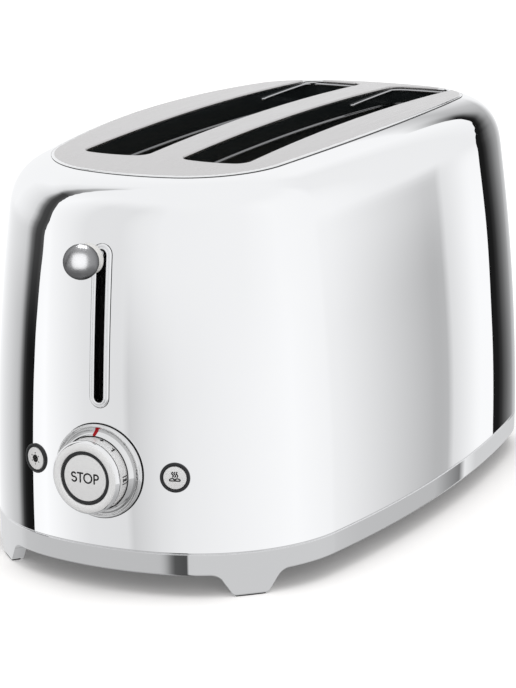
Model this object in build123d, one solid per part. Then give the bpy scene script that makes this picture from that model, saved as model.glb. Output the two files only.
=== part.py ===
"""Four-slice toaster with two long slots, a lever at one end and a browning dial.

Frame: +X across the toaster, +Y away from the control end, +Z up. The origin is on the
ground, under the centre of the whole object's box. All sizes are in millimetres.
"""
import os
from math import asin, cos, hypot, pi, radians, sin, sqrt

from build123d import *

# How far cutters and blocks run past what they cut, and past the whole body
past = 1.0
clear_of_body = 20.0
hair = 0.01

# Body outline: eight tangent arcs
half_width = 104.0
half_length = 187.0
side_radius = 750.0
end_radius = 152.0
corner_radius = 81.5

# Heights, from the ground up
foot_height = 11.6
band_height = 11.2
total_height = 208.0

# Body shell
shell_sheet = 1.2
wall_radius = 1197.0
shoulder_radius = 25.5
arch_radius = 2590.0
plate_stands_proud = 0.5

# Top plate, its two slots and their collars
plate_inset = 32.4
plate_thickness = 1.6
plate_lip_radius = 1.2
plate_gap = 0.4
ledge_width = 3.4
slot_side_margin = 25.4
slot_land = 19.6
slot_front_margin = 67.5
slot_back_margin = 43.0
slot_bow = 2.4
slot_corner = 7.5
slot_lip_radius = 0.75
collar_sheet = 0.9
collar_drop = 15.0

# Base band with its feet, base pan and pads
band_thickness = 2.5
seam_height = 0.7
seam_depth = 0.5
band_ledge = 3.5
ledge_thickness = 0.6
pan_thickness = 1.2
pan_gap = 0.2
foot_bearing = 46.0
foot_tip_width = 18.0
foot_root_width = 33.0
foot_depth = 7.0
foot_flank_radius = 8.0
foot_tip_height = 0.6
foot_toe_radius = 1.0
pad_height = 2.2
pad_margin = 1.4

# Crumb tray, its rails and its grip
tray_side_gap = 6.0
tray_setback = 12.0
tray_height = 6.0
tray_sheet = 0.8
tray_clearance = 0.4
grip_depth = 8.0
grip_height = 6.9
grip_groove_width = 60.0
grip_groove_height = 4.0
grip_groove_depth = 5.0
rail_sheet = 1.2
rail_lip = 3.0
rail_end_margin = 32.0

# Inner chassis
end_plate_gap = 4.5
end_sheet = 1.0
end_slot_gap = 0.5
end_overhang = 2.0
chassis_headroom = 18.0
chassis_bottom = 26.0
end_leg_width = 4.5
tab_length = 10.0
tab_sheet = 1.2
shield_gap = 8.0
shield_sheet = 0.8
heater_bottom = 64.0
heater_headroom = 22.0
mica_thickness = 0.8
inner_card_gap = 4.8
outer_card_gap = 5.8
ribbon_thickness = 0.3
ribbon_width = 2.0
ribbon_runs = 8
ribbon_margin = 8.0

# Bread cages
cage_stand_in = 1.2
cage_wire_radius = 1.0
cage_bar_width = 2.6
cage_bar_height = 3.0
cage_wires = 13
cage_end_gap = 0.8
cage_pin_radius = 1.4
cage_pin_reach = 2.6
cage_shut_gap = 4.0

# Bread lifters, carriage, guide rods and lift spring
lifter_drop = 68.0
lifter_width = 10.0
lifter_sheet = 1.5
lifter_rib = 8.0
lifter_notches = 10
lifter_notch_length = 12.0
lifter_notch_depth = 3.0
carriage_gap = 8.0
carriage_sheet = 1.5
carriage_overhang = 6.0
carriage_drop = 12.0
carriage_height = 24.0
tower_half_width = 8.0
tower_cover = 7.6
rod_radius = 2.5
rod_spread = 22.0
rod_gap = 7.0
bush_radius = 6.0
bush_length = 28.0
rod_clearance = 0.3
bracket_overhang = 8.0
bracket_sheet = 1.2
bracket_gap = 1.0
spring_x = -10.5
spring_radius = 2.6
spring_wire_radius = 0.45
spring_turns = 20
hook_half_width = 3.5
hook_sheet = 2.0
hook_height = 6.0

# Holding magnet and power switch
magnet_reach = 19.0
magnet_half_depth = 7.0
magnet_gap = 0.4
magnet_post_radius = 3.5
magnet_flange_radius = 8.0
magnet_post_proud = 4.6
magnet_flange_thickness = 2.0
magnet_base = 12.0
coil_radius = 9.0
coil_height = 20.0
armature_half_width = 7.0
armature_height = 3.0
armature_arm_sheet = 2.0
switch_inset = 3.0
switch_half_width = 5.0
switch_depth = 16.0
switch_height = 17.0
finger_half_width = 1.5
finger_reach = 22.0

# Lever, outside the shell
lever_top_room = 4.8
lever_bottom_room = 5.3
ball_proud = 11.5
ball_radius = 8.65
ball_socket = 6.0
stem_radius = 1.8
stem_fit = 0.05
collar_radius = 8.0
collar_nose_radius = 5.0
collar_tuck = 0.3
collar_disc = 2.0
collar_nose = 2.4
bezel_width = 10.6
bezel_above_dial = 7.5
bezel_drop = 34.8
lever_slot_width = 5.2
bezel_proud = 1.2
bezel_neck = 1.0
bezel_lap = 1.5
bezel_gap = 0.3
shroud_half_width = 6.4
shroud_sheet = 1.2
shroud_margin = 3.0
shroud_depth = 22.0

# Browning dial with its stop button
control_height = 61.5
flange_radius = 24.1
flange_proud = 2.2
flange_bore = 9.2
flange_dish_radius = 21.6
flange_dish_width = 1.6
flange_dish_depth = 1.0
flange_edge = 0.7
knob_radius = 19.0
knob_proud = 13.3
knob_edge = 1.6
knob_line_at = 3.0
knob_line = 0.3
knob_web = 3.0
light_ring_radius = 13.4
light_ring_depth = 4.0
light_ring_recess = 0.2
stop_radius = 11.3
stop_recess = 0.3
stop_thickness = 3.0
stop_stem_radius = 2.5
stop_travel = 1.6
spindle_radius = 8.0
spindle_bore = 6.0
pot_radius = 13.0
pot_depth = 6.0
running_gap = 0.3

# Side buttons
button_gap = 7.8
button_ring_radius = 7.5
button_ring_proud = 0.8
button_radius = 5.8
button_proud = 0.6
button_neck = 0.7
button_ring_depth = 5.0
button_cap_depth = 3.5
button_stem_radius = 2.0
button_travel = 1.5

# Control board with its switches
board_setback = 17.0
board_thickness = 1.6
board_side_gap = 6.9
board_below = 25.5
board_above = 26.5
spacer_length = 2.4
spacer_radius = 3.0
board_screw_margin = 5.0
upright_foot = 7.0
tact_half_width = 3.0
tact_height = 3.2
stop_switch_height = 4.3

# Fasteners and rear fittings
screw_radius = 1.5
screw_head_radius = 3.0
screw_head_height = 2.0
screw_recess_reach = 1.8
screw_recess_half = 0.45
screw_reach = 4.0
screw_fit = 0.05
screw_hole_gap = 0.2
lug_inset = 10.0
lug_y = 70.0
lug_height = 6.0
lug_radius = 5.0
gland_side_margin = 32.0
gland_end_margin = 62.0
gland_bore = 3.5
gland_body_radius = 5.0
gland_flange_radius = 8.0
gland_flange = 2.0
gland_nozzle = 5.2
gland_gap = 0.1
terminal_half_width = 20.0
terminal_bottom = 40.0
terminal_height = 14.0
terminal_depth = 13.0
terminal_screws = 3

# Heights worked out from the sizes above
band_top = foot_height + band_height
ledge_top = foot_height + ledge_thickness
pan_top = ledge_top + pan_thickness
tray_bottom = pan_top + tray_clearance
tray_top = tray_bottom + tray_height
grip_top = tray_bottom + grip_height
crown = total_height - plate_stands_proud
plate_underside = total_height - plate_thickness
over_top = total_height + clear_of_body
collar_bottom = total_height - collar_drop
chassis_top = total_height - chassis_headroom
heater_top = total_height - heater_headroom
bracket_bottom = heater_top + bracket_gap
bezel_bottom = control_height + flange_radius + bezel_above_dial
bezel_top = total_height - bezel_drop
lever_height = bezel_top - lever_top_room
lever_travel = lever_height - bezel_bottom - lever_bottom_room
lifter_top = total_height - lifter_drop
carriage_bottom = lifter_top - carriage_drop
carriage_shoulder = carriage_bottom + carriage_height
tower_top = lever_height + tower_cover
armature_bottom = carriage_bottom - armature_height
magnet_top = armature_bottom - lever_travel - magnet_gap
coil_bottom = magnet_top - magnet_post_proud - coil_height
switch_top = carriage_bottom - lever_travel - magnet_gap
board_bottom = control_height - board_below
board_top = control_height + board_above

# Places across the toaster
side_centre = half_width - side_radius
slot_width = half_width - plate_inset - slot_side_margin - slot_land / 2
slot_spread = (slot_land + slot_width) / 2
cage_offset = slot_width / 2 - cage_stand_in
cage_travel = cage_offset - lifter_width / 2 - cage_shut_gap
inner_card_x = slot_land / 2 - inner_card_gap
outer_card_x = slot_spread + slot_width / 2 + outer_card_gap
shield_x = outer_card_x + shield_gap
end_half_width = shield_x + end_overhang
tray_half_width = shield_x - tray_side_gap
carriage_half_width = slot_spread + carriage_overhang
bracket_half_width = rod_spread + bracket_overhang
switch_x = carriage_half_width - switch_inset
button_x = flange_radius + button_ring_radius + button_gap
gland_x = gland_side_margin - half_width

# Places along the toaster
end_centre = half_length - end_radius
slot_front = slot_front_margin - half_length
slot_back = half_length - slot_back_margin
chamber_front = slot_front - end_plate_gap
chamber_back = slot_back + end_plate_gap
tray_front = chamber_front + tray_setback
rail_back = half_length - rail_end_margin
carriage_y = chamber_front - carriage_gap
carriage_face = carriage_y - carriage_sheet
rod_y = carriage_y - rod_gap
magnet_y = carriage_y - magnet_reach
magnet_front = magnet_y - magnet_half_depth
board_face = board_setback - half_length
board_back = board_face + board_thickness
upright_face = board_back + spacer_length
upright_back = upright_face + bracket_sheet
shroud_back = shroud_depth - half_length
flange_face = -half_length - flange_proud
knob_face = -half_length - knob_proud
knob_back = flange_face - running_gap
pocket_floor = knob_back - knob_web
stop_face = knob_face + stop_recess
stop_back = stop_face + stop_thickness
stop_switch_top = board_face - stop_switch_height
tact_top = board_face - tact_height
collar_back = collar_tuck - half_length
collar_front = collar_back - collar_disc - collar_nose
ball_y = -half_length - ball_proud
front_reach = ball_y - ball_radius
gland_y = half_length - gland_end_margin
origin_shift = -(front_reach + half_length) / 2


def corner_centre():
    """Centre of the corner arc, from its tangency to the side arc and the end arc."""
    reach = hypot(side_centre, end_centre)
    to_side = side_radius - corner_radius
    to_end = end_radius - corner_radius
    along = (reach**2 + to_side**2 - to_end**2) / (2 * reach)
    aside = sqrt(to_side**2 - along**2)
    ux, uy = -side_centre / reach, end_centre / reach
    return side_centre + ux * along - uy * aside, uy * along + ux * aside


def wall_inset(height):
    """How far the outer wall has leant in at a height."""
    rise = max(0.0, height - band_top)
    return wall_radius - sqrt(wall_radius**2 - rise**2)


def board_room():
    """Half the width between the shell's corners, where the top of the board stands."""
    corner = corner_radius - shell_sheet - wall_inset(board_top)
    return corner_x + sqrt(corner**2 - (board_face + corner_y)**2)


corner_x, corner_y = corner_centre()
board_half_width = board_room() - board_side_gap


def outline(inset):
    """Body outline moved inwards by inset: a closed wire that starts on the +X side."""
    side, end, corner = side_radius - inset, end_radius - inset, corner_radius - inset
    side_angle = asin(corner_y / (side_radius - corner_radius))
    end_angle = asin(corner_x / (end_radius - corner_radius))
    sx, sy = side_centre + side * cos(side_angle), side * sin(side_angle)
    ex, ey = end * sin(end_angle), end_centre + end * cos(end_angle)
    middle = (side_angle + pi / 2 - end_angle) / 2
    mx, my = corner_x + corner * cos(middle), corner_y + corner * sin(middle)
    hx, hy = side_centre + side * cos(side_angle / 2), side * sin(side_angle / 2)
    wide, long = half_width - inset, half_length - inset
    return Wire([
        ThreePointArc((wide, 0), (hx, hy), (sx, sy)),
        ThreePointArc((sx, sy), (mx, my), (ex, ey)),
        ThreePointArc((ex, ey), (0, long), (-ex, ey)),
        ThreePointArc((-ex, ey), (-mx, my), (-sx, sy)),
        ThreePointArc((-sx, sy), (-wide, 0), (-sx, -sy)),
        ThreePointArc((-sx, -sy), (-mx, -my), (-ex, -ey)),
        ThreePointArc((-ex, -ey), (0, -long), (ex, -ey)),
        ThreePointArc((ex, -ey), (mx, -my), (sx, -sy)),
        ThreePointArc((sx, -sy), (hx, -hy), (wide, 0)),
    ])


def prism(inset, bottom, top):
    """Upright block with the body's outline at an inset."""
    return Pos(0, 0, bottom) * extrude(Face(outline(inset)), top - bottom)


def ring(outer_inset, inner_inset, bottom, top):
    """Upright wall between two insets of the body's outline."""
    return prism(outer_inset, bottom, top) - prism(inner_inset, bottom, top)


def block(x0, x1, y0, y1, z0, z1):
    """Box between two corners."""
    place = Pos((x0 + x1) / 2, (y0 + y1) / 2, (z0 + z1) / 2)
    return place * Box(abs(x1 - x0), abs(y1 - y0), abs(z1 - z0))


def bar_z(radius, z0, z1, x=0.0, y=0.0):
    """Round bar along Z."""
    return Pos(x, y, (z0 + z1) / 2) * Cylinder(radius, abs(z1 - z0))


def bar_y(radius, y0, y1, x=0.0, z=0.0):
    """Round bar along Y."""
    return Pos(x, (y0 + y1) / 2, z) * Rot(90, 0, 0) * Cylinder(radius, abs(y1 - y0))


def tube_z(radius, bore, z0, z1, x=0.0, y=0.0):
    """Round tube along Z."""
    return bar_z(radius, z0, z1, x, y) - bar_z(bore, z0 - past, z1 + past, x, y)


def tube_y(radius, bore, y0, y1, x=0.0, z=0.0):
    """Round tube along Y."""
    return bar_y(radius, y0, y1, x, z) - bar_y(bore, y0 - past, y1 + past, x, z)


def obround(growth, y0, y1):
    """Lever slot's outline grown by growth, as a block along Y."""
    radius = lever_slot_width / 2 + growth
    rim = (bezel_width - lever_slot_width) / 2
    low = bezel_bottom + rim + lever_slot_width / 2
    high = bezel_top - rim - lever_slot_width / 2
    middle = block(-radius, radius, y0, y1, low, high)
    return middle + bar_y(radius, y0, y1, 0, low) + bar_y(radius, y0, y1, 0, high)


def below_arch(crown_height, bottom):
    """Everything between a level and the lengthwise arch of the top."""
    reach, overhang = half_length + clear_of_body, half_width + clear_of_body
    edge = crown_height - (arch_radius - sqrt(arch_radius**2 - reach**2))
    face = Face(Wire([
        Line((0, -reach, edge), (0, -reach, bottom)),
        Line((0, -reach, bottom), (0, reach, bottom)),
        Line((0, reach, bottom), (0, reach, edge)),
        ThreePointArc((0, reach, edge), (0, 0, crown_height), (0, -reach, edge)),
    ]))
    return extrude(face, overhang, dir=(1, 0, 0), both=True)


def body_form(inset, bottom):
    """Closed form of the body's outside, moved inwards by inset."""
    start = half_width - inset
    core = half_width - corner_radius / 2
    half_way = (band_top + over_top) / 2
    middle = start - wall_inset(half_way)
    rim = start - wall_inset(over_top)
    edges = [
        ThreePointArc((start, 0, band_top), (middle, 0, half_way), (rim, 0, over_top)),
        Line((rim, 0, over_top), (core, 0, over_top)),
        Line((core, 0, over_top), (core, 0, bottom)),
        Line((core, 0, bottom), (start, 0, bottom)),
    ]
    if bottom < band_top:
        edges.append(Line((start, 0, bottom), (start, 0, band_top)))
    walls = sweep(Face(Wire(edges)), path=outline(inset))
    filled = walls + prism(half_width - core - past, bottom, over_top)
    form = filled & below_arch(crown - inset, bottom - past)
    rims = form.edges().filter_by(lambda edge: edge.center().Z > crown - inset - shoulder_radius / 2)
    return fillet(rims, shoulder_radius - inset)


def save(name, *solids):
    """Write one node, with the frame's origin under the middle of the whole object."""
    moved = [Pos(0, origin_shift, 0) * solid for solid in solids]
    shape = moved[0] if len(moved) == 1 else Compound(children=moved)
    export_step(shape, f"parts/{name}.step")


def slot_face(growth):
    """Plan of one slot, with bowed ends, grown outwards by growth."""
    half = slot_width / 2 + growth
    front, back = slot_front - growth, slot_back + growth
    face = Face(Wire([
        Line((half, front + slot_bow), (half, back - slot_bow)),
        ThreePointArc((half, back - slot_bow), (0, back), (-half, back - slot_bow)),
        Line((-half, back - slot_bow), (-half, front + slot_bow)),
        ThreePointArc((-half, front + slot_bow), (0, front), (half, front + slot_bow)),
    ]))
    return fillet(face.vertices(), slot_corner + growth)


def slot_prism(side, growth, bottom, top):
    """Upright block in the plan of the slot on one side."""
    return Pos(side * slot_spread, 0, bottom) * extrude(slot_face(growth), top - bottom)


def button_plane(side):
    """Plane of a side button: on the wall, with its normal pointing out of it."""
    lean = asin((button_x - corner_x) / corner_radius)
    reach = corner_radius - wall_inset(control_height)
    return Plane(
        origin=(side * (corner_x + reach * sin(lean)), -corner_y - reach * cos(lean), control_height),
        x_dir=(cos(lean), side * sin(lean), 0),
        z_dir=(side * sin(lean), -cos(lean), 0),
    )


def disc(plane, radius, low, high):
    """Round block on a plane, between two heights along its normal."""
    return plane * Pos(0, 0, (low + high) / 2) * Cylinder(radius, high - low)


def outer_shell():
    """Drawn steel body: walls and shoulders in one piece, open below."""
    shell = body_form(0, band_top) - body_form(shell_sheet, band_top - clear_of_body)
    edge = plate_inset - plate_gap
    low = plate_underside - shoulder_radius
    ledge = ring(edge - shell_sheet, edge + ledge_width, low, over_top)
    ledge &= below_arch(plate_underside, 0) - below_arch(plate_underside - shell_sheet, -past)
    shell -= prism(edge, low, over_top) - below_arch(plate_underside, 0)
    shell -= prism(edge + ledge_width, low, over_top)
    shell += ledge
    for side in (-1, 1):
        shell -= slot_prism(side, collar_sheet + plate_gap, low, over_top)
    front = -half_length - past
    shell -= obround(bezel_neck + bezel_gap, front, shroud_back)
    shell -= bar_y(flange_bore + bezel_gap, front, shroud_back, 0, control_height)
    hole = button_radius + running_gap + button_neck + bezel_gap
    for side in (-1, 1):
        shell -= disc(button_plane(side), hole, -button_ring_depth, button_ring_depth)
    return shell


def top_plate():
    """Arched steel lid with rolled lips at its rim and round both slots."""
    plate = prism(plate_inset, plate_underside - shoulder_radius, over_top)
    plate &= below_arch(total_height, 0) - below_arch(plate_underside, -past)
    rim = plate.faces().sort_by(Axis.Z)[-1].outer_wire().edges()
    plate = fillet(rim, plate_lip_radius)
    for side in (-1, 1):
        plate -= slot_prism(side, 0, 0, over_top)
    top = plate.faces().sort_by(Axis.Z)[-1]
    inner = [edge for wire in top.inner_wires() for edge in wire.edges()]
    return fillet(inner, slot_lip_radius)


def slot_collar(side):
    """Turned-down collar that hangs under the plate round one slot."""
    collar = slot_prism(side, collar_sheet, collar_bottom, over_top)
    collar -= slot_prism(side, 0, 0, over_top)
    return collar & below_arch(plate_underside, 0)


def foot_plane(x_side, y_side):
    """Upright plane on the band's corner, facing out along the foot's bearing."""
    bearing = radians(foot_bearing)
    out = Vector(x_side * cos(bearing), y_side * sin(bearing), 0)
    place = Vector(x_side * corner_x, y_side * corner_y, 0) + out * corner_radius
    return Plane(origin=place, x_dir=Vector(0, 0, 1).cross(out), z_dir=out)


def foot(x_side, y_side):
    """Tapering tab of the band, with flanks that run into the band in a curve."""
    tip, root = foot_tip_width / 2, foot_root_width / 2
    wide = root + foot_flank_radius
    profile = Face(Wire(Polyline(
        (-wide, ledge_top), (-wide, foot_height), (-root, foot_height), (-tip, foot_tip_height),
        (tip, foot_tip_height), (root, foot_height), (wide, foot_height), (wide, ledge_top),
        close=True,
    ).edges()))
    roots = profile.vertices().filter_by(lambda v: abs(v.Y - foot_height) < hair)
    knees = roots.filter_by(lambda v: abs(v.X) < wide - hair)
    profile = fillet(knees, foot_flank_radius)
    toes = profile.vertices().filter_by(lambda v: abs(v.Y - foot_tip_height) < hair)
    profile = fillet(toes, foot_toe_radius)
    prong = extrude(foot_plane(x_side, y_side) * profile, corner_radius / 2, both=True)
    return prong & ring(0, foot_depth, 0, ledge_top)


def foot_pad(x_side, y_side):
    """Rubber block let into the underside of one foot."""
    width = foot_tip_width - 2 * pad_margin
    strip = foot_plane(x_side, y_side) * Pos(0, pad_height / 2, 0) * Box(width, pad_height, corner_radius)
    return strip & ring(pad_margin, foot_depth - pad_margin, -past, pad_height + past)


def lug_place(x_side, y_side):
    """Where a base screw stands: a fixed inset from the side of the body."""
    x = side_centre + sqrt((side_radius - lug_inset)**2 - lug_y**2)
    return x_side * x, y_side * lug_y


def base_band():
    """Chromed ring under the shell, with its ledge, screw lugs and four feet."""
    band = ring(0, band_thickness, foot_height, band_top - seam_height)
    band += ring(seam_depth, band_thickness, band_top - seam_height, band_top)
    band += ring(band_thickness, band_thickness + band_ledge, foot_height, ledge_top)
    hollow = prism(band_thickness / 2, pan_top, pan_top + lug_height)
    for x_side in (-1, 1):
        for y_side in (-1, 1):
            band += foot(x_side, y_side)
            band -= foot_pad(x_side, y_side)
            x, y = lug_place(x_side, y_side)
            lug = bar_z(lug_radius, pan_top, pan_top + lug_height, x, y)
            out = x + x_side * lug_inset
            lug += block(x, out, y - lug_radius, y + lug_radius, pan_top, pan_top + lug_height)
            band += lug & hollow
            band -= bar_z(screw_radius + screw_fit, pan_top - past, pan_top + screw_reach + screw_fit, x, y)
    half = tray_half_width + 2 * tray_clearance
    return band - block(-half, half, 0, half_length + clear_of_body, pan_top, grip_top + tray_clearance)


def base_pan():
    """Pressed steel floor on the band's ledge, with its screw and gland holes."""
    pan = prism(band_thickness + pan_gap, ledge_top, pan_top)
    hole = screw_radius + screw_hole_gap
    for x, y in pan_screw_places():
        pan -= bar_z(hole, ledge_top - past, pan_top + past, x, y)
    return pan - bar_z(gland_body_radius + gland_gap, ledge_top - past, pan_top + past, gland_x, gland_y)


def pan_screw_places():
    """Every screw through the pan: four into the band's lugs, four into the end plates' tabs."""
    lugs = [lug_place(x_side, y_side) for x_side in (-1, 1) for y_side in (-1, 1)]
    return lugs + [tab_place(x_side, end) for x_side in (-1, 1) for end in (-1, 1)]


def tab_place(x_side, end):
    """Middle of an end plate's foot tab, outside the chamber."""
    y = chamber_back + end_sheet + tab_length / 2 if end > 0 else chamber_front - end_sheet - tab_length / 2
    return x_side * (end_half_width - end_leg_width / 2), y


def pan_screw(x, y):
    """Pan-headed screw from below, with a driver recess in its head."""
    screw = bar_z(screw_head_radius, ledge_top - screw_head_height, ledge_top, x, y)
    screw += bar_z(screw_radius, ledge_top, pan_top + screw_reach, x, y)
    recess = screw_head_height / 2
    low = ledge_top - screw_head_height - past
    high = low + past + recess
    arm, half = screw_recess_reach, screw_recess_half
    screw -= block(x - arm, x + arm, y - half, y + half, low, high)
    return screw - block(x - half, x + half, y - arm, y + arm, low, high)


def crumb_tray():
    """Shallow folded tray that slides in over the pan; its back follows the grip."""
    def filled(inset, margin, bottom):
        half = tray_half_width - margin
        body = block(-half, half, tray_front + margin, half_length, bottom, tray_top)
        return body & prism(inset, bottom, tray_top)
    return filled(grip_depth, 0, tray_bottom) - filled(
        grip_depth + tray_sheet, tray_sheet, tray_bottom + tray_sheet
    )


def tray_grip():
    """Curved front of the tray, flush with the band, with a finger groove."""
    half = tray_half_width + tray_clearance
    grip = ring(0, grip_depth, tray_bottom, grip_top)
    grip &= block(-half, half, 0, half_length + clear_of_body, tray_bottom, grip_top)
    low = tray_bottom + (grip_height - grip_groove_height) / 2
    high = low + grip_groove_height
    groove = ring(-past, grip_groove_depth, low, high)
    width = grip_groove_width / 2
    return grip - (groove & block(-width, width, 0, half_length + clear_of_body, low, high))


def tray_rail(side):
    """Angle rail on the pan that guides one side of the tray."""
    inner = tray_half_width + 2 * tray_clearance
    top = tray_top + tray_clearance + rail_sheet
    rail = block(inner, inner + rail_sheet, tray_front, rail_back, pan_top, top)
    rail += block(inner - rail_lip, inner + rail_sheet, tray_front, rail_back, top - rail_sheet, top)
    return rail if side > 0 else mirror(rail, Plane.YZ)


def cage_places():
    """Each cage's name, its rest place across the toaster and the side of its slot it stands on."""
    names = {(-1, -1): "left_outer", (-1, 1): "left_inner", (1, -1): "right_inner", (1, 1): "right_outer"}
    return [(name, side * slot_spread + hand * cage_offset, hand) for (side, hand), name in names.items()]


def end_plate(end):
    """Upright plate that closes one end of the baking chamber and carries what is in it."""
    inner, outer = (chamber_front, chamber_front - end_sheet)
    if end > 0:
        inner, outer = (chamber_back, chamber_back + end_sheet)
    plate = block(-end_half_width, end_half_width, inner, outer, chassis_bottom, chassis_top)
    for side in (-1, 1):
        near, far = side * end_half_width, side * (end_half_width - end_leg_width)
        plate += block(far, near, inner, outer, pan_top, chassis_bottom + past)
        plate += block(far, near, inner, outer + end * tab_length, pan_top, pan_top + tab_sheet)
        x, y = tab_place(side, end)
        plate -= bar_z(screw_radius + screw_fit, pan_top - past, pan_top + tab_sheet + past, x, y)
        middle, half = side * slot_spread, lifter_width / 2 + end_slot_gap
        low = lifter_top - lifter_sheet - lifter_rib - lever_travel - end_slot_gap
        high = lifter_top + end_slot_gap
        plate -= block(middle - half, middle + half, inner - end, outer + end, low, high)
    reach = cage_pin_radius + running_gap
    for _, x, hand in cage_places():
        shut = x - hand * cage_travel
        for z in cage_bar_heights():
            plate -= block(
                min(x, shut) - reach, max(x, shut) + reach, inner - end, outer + end, z - reach, z + reach
            )
    return plate


def cage_bar_heights():
    """Middle heights of a cage's two bars."""
    return heater_bottom + cage_bar_height / 2, heater_top - cage_bar_height / 2


def heat_shield(side):
    """Bright sheet between the end plates that keeps the heat off the shell."""
    return block(
        side * shield_x, side * (shield_x + shield_sheet), chamber_front, chamber_back,
        chassis_bottom, chassis_top,
    )


def heater_card(x):
    """Mica card that stands between the end plates."""
    half = mica_thickness / 2
    return block(x - half, x + half, chamber_front, chamber_back, heater_bottom, heater_top)


def heater_ribbon(x, hand):
    """Flat heating ribbon that winds up the bread side of its card."""
    inner = x + hand * mica_thickness / 2
    outer = inner + hand * ribbon_thickness
    front, back = chamber_front + ribbon_margin, chamber_back - ribbon_margin
    pitch = (heater_top - heater_bottom - 2 * ribbon_margin - ribbon_width) / (ribbon_runs - 1)
    ribbon = None
    for run in range(ribbon_runs):
        z = heater_bottom + ribbon_margin + run * pitch
        strip = block(inner, outer, front, back, z, z + ribbon_width)
        ribbon = strip if ribbon is None else ribbon + strip
        if run < ribbon_runs - 1:
            y = back - ribbon_width if run % 2 == 0 else front
            ribbon += block(inner, outer, y, y + ribbon_width, z, z + pitch + ribbon_width)
    return ribbon


def heater_places():
    """Each heater's name, its place across the toaster and the way its ribbon faces."""
    return [
        ("left_outer", -outer_card_x, 1), ("left_inner", -inner_card_x, -1),
        ("right_inner", inner_card_x, 1), ("right_outer", outer_card_x, -1),
    ]


def bread_cage(x):
    """Row of upright wires between two bars, with pins that run in the end plates."""
    front, back = chamber_front + cage_end_gap, chamber_back - cage_end_gap
    half = cage_bar_width / 2
    cage = None
    for z in cage_bar_heights():
        bar = block(x - half, x + half, front, back, z - cage_bar_height / 2, z + cage_bar_height / 2)
        reach = end_sheet + cage_pin_reach
        bar += bar_y(cage_pin_radius, chamber_front - reach, front + reach, x, z)
        bar += bar_y(cage_pin_radius, back - reach, chamber_back + reach, x, z)
        cage = bar if cage is None else cage + bar
    low, high = cage_bar_heights()
    pitch = (back - front) / cage_wires
    for wire in range(cage_wires):
        cage += bar_z(cage_wire_radius, low, high, x, front + pitch * (wire + 0.5))
    return cage


def bread_lifter(side):
    """Notched rest under the bread in one slot, stiffened by a rib, on the carriage."""
    middle = side * slot_spread
    back = chamber_back + end_sheet + end_plate_gap / 2
    half, rib = lifter_width / 2, lifter_sheet / 2
    under = lifter_top - lifter_sheet
    lifter = block(middle - half, middle + half, carriage_y, back, under, lifter_top)
    pitch = (slot_back - slot_front) / lifter_notches
    for notch in range(lifter_notches):
        y = slot_front + pitch * (notch + 0.5)
        near, far = y - lifter_notch_length / 2, y + lifter_notch_length / 2
        for hand in (-1, 1):
            edge = middle + hand * half
            inner = edge - hand * lifter_notch_depth
            lifter -= block(inner, edge + hand, near, far, under - past, lifter_top + past)
    return lifter + block(middle - rib, middle + rib, carriage_y, back, under - lifter_rib, under)


def carriage():
    """Folded plate with two bushes that runs on the guide rods and carries both lifters."""
    plate = block(
        -carriage_half_width, carriage_half_width, carriage_face, carriage_y,
        carriage_bottom, carriage_shoulder,
    )
    plate += block(
        -tower_half_width, tower_half_width, carriage_face, carriage_y, carriage_shoulder - past, tower_top
    )
    arm_top = carriage_bottom + armature_arm_sheet
    plate += block(
        -armature_half_width, armature_half_width, magnet_front, carriage_face, carriage_bottom, arm_top
    )
    plate += block(
        switch_x - finger_half_width, switch_x + finger_half_width, carriage_face - finger_reach,
        carriage_face, carriage_bottom, arm_top,
    )
    hook_bottom = carriage_bottom + hook_height
    plate += block(
        spring_x - hook_half_width, spring_x + hook_half_width, rod_y - hook_half_width,
        carriage_face, hook_bottom, hook_bottom + hook_sheet,
    )
    for side in (-1, 1):
        plate += tube_z(
            bush_radius, rod_radius + rod_clearance, carriage_bottom, carriage_bottom + bush_length,
            side * rod_spread, rod_y,
        )
    return plate - bar_y(stem_radius + stem_fit, carriage_face - past, carriage_y + past, 0, lever_height)


def armature():
    """Soft iron block under the carriage's arm, which the magnet holds."""
    half = armature_half_width
    return block(-half, half, magnet_front, magnet_y + magnet_half_depth, armature_bottom, carriage_bottom)


def lever_arm():
    """Round steel bar from the carriage, out through the slot, into the knob."""
    return bar_y(stem_radius, ball_y + ball_socket, carriage_y, 0, lever_height)


def lever_knob():
    """Polished ball with a socket for the bar."""
    ball = Pos(0, ball_y, lever_height) * Sphere(ball_radius)
    ball -= bar_y(stem_radius + stem_fit, ball_y + ball_socket, 0, 0, lever_height)
    return ball - bar_y(2 * ball_radius, collar_front, 0, 0, lever_height)


def lever_collar():
    """Turned collar behind the ball: a disc that narrows to a nose."""
    disc_front = collar_back - collar_disc
    collar = bar_y(collar_radius, disc_front, collar_back, 0, lever_height)
    nose = Cone(collar_radius, collar_nose_radius, collar_nose)
    collar += Pos(0, disc_front - collar_nose / 2, lever_height) * Rot(90, 0, 0) * nose
    return collar - bar_y(stem_radius + stem_fit, ball_y, collar_back + past, 0, lever_height)


def guide_rod(side):
    """Ground steel rod, from the pan to the top bracket."""
    return bar_z(rod_radius, pan_top, bracket_bottom + bracket_sheet, side * rod_spread, rod_y)


def guide_bracket():
    """Folded bracket on the front end plate, which holds the rods and the spring's top."""
    back = chamber_front - end_sheet
    front = rod_y - bush_radius
    top = bracket_bottom + bracket_sheet
    half = bracket_half_width
    bracket = block(-half, half, front, back, bracket_bottom, top)
    bracket += block(-half, half, back - bracket_sheet, back, bracket_bottom, chassis_top)
    for side in (-1, 1):
        bracket -= bar_z(rod_radius + screw_fit, bracket_bottom - past, top + past, side * rod_spread, rod_y)
    return bracket


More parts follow.
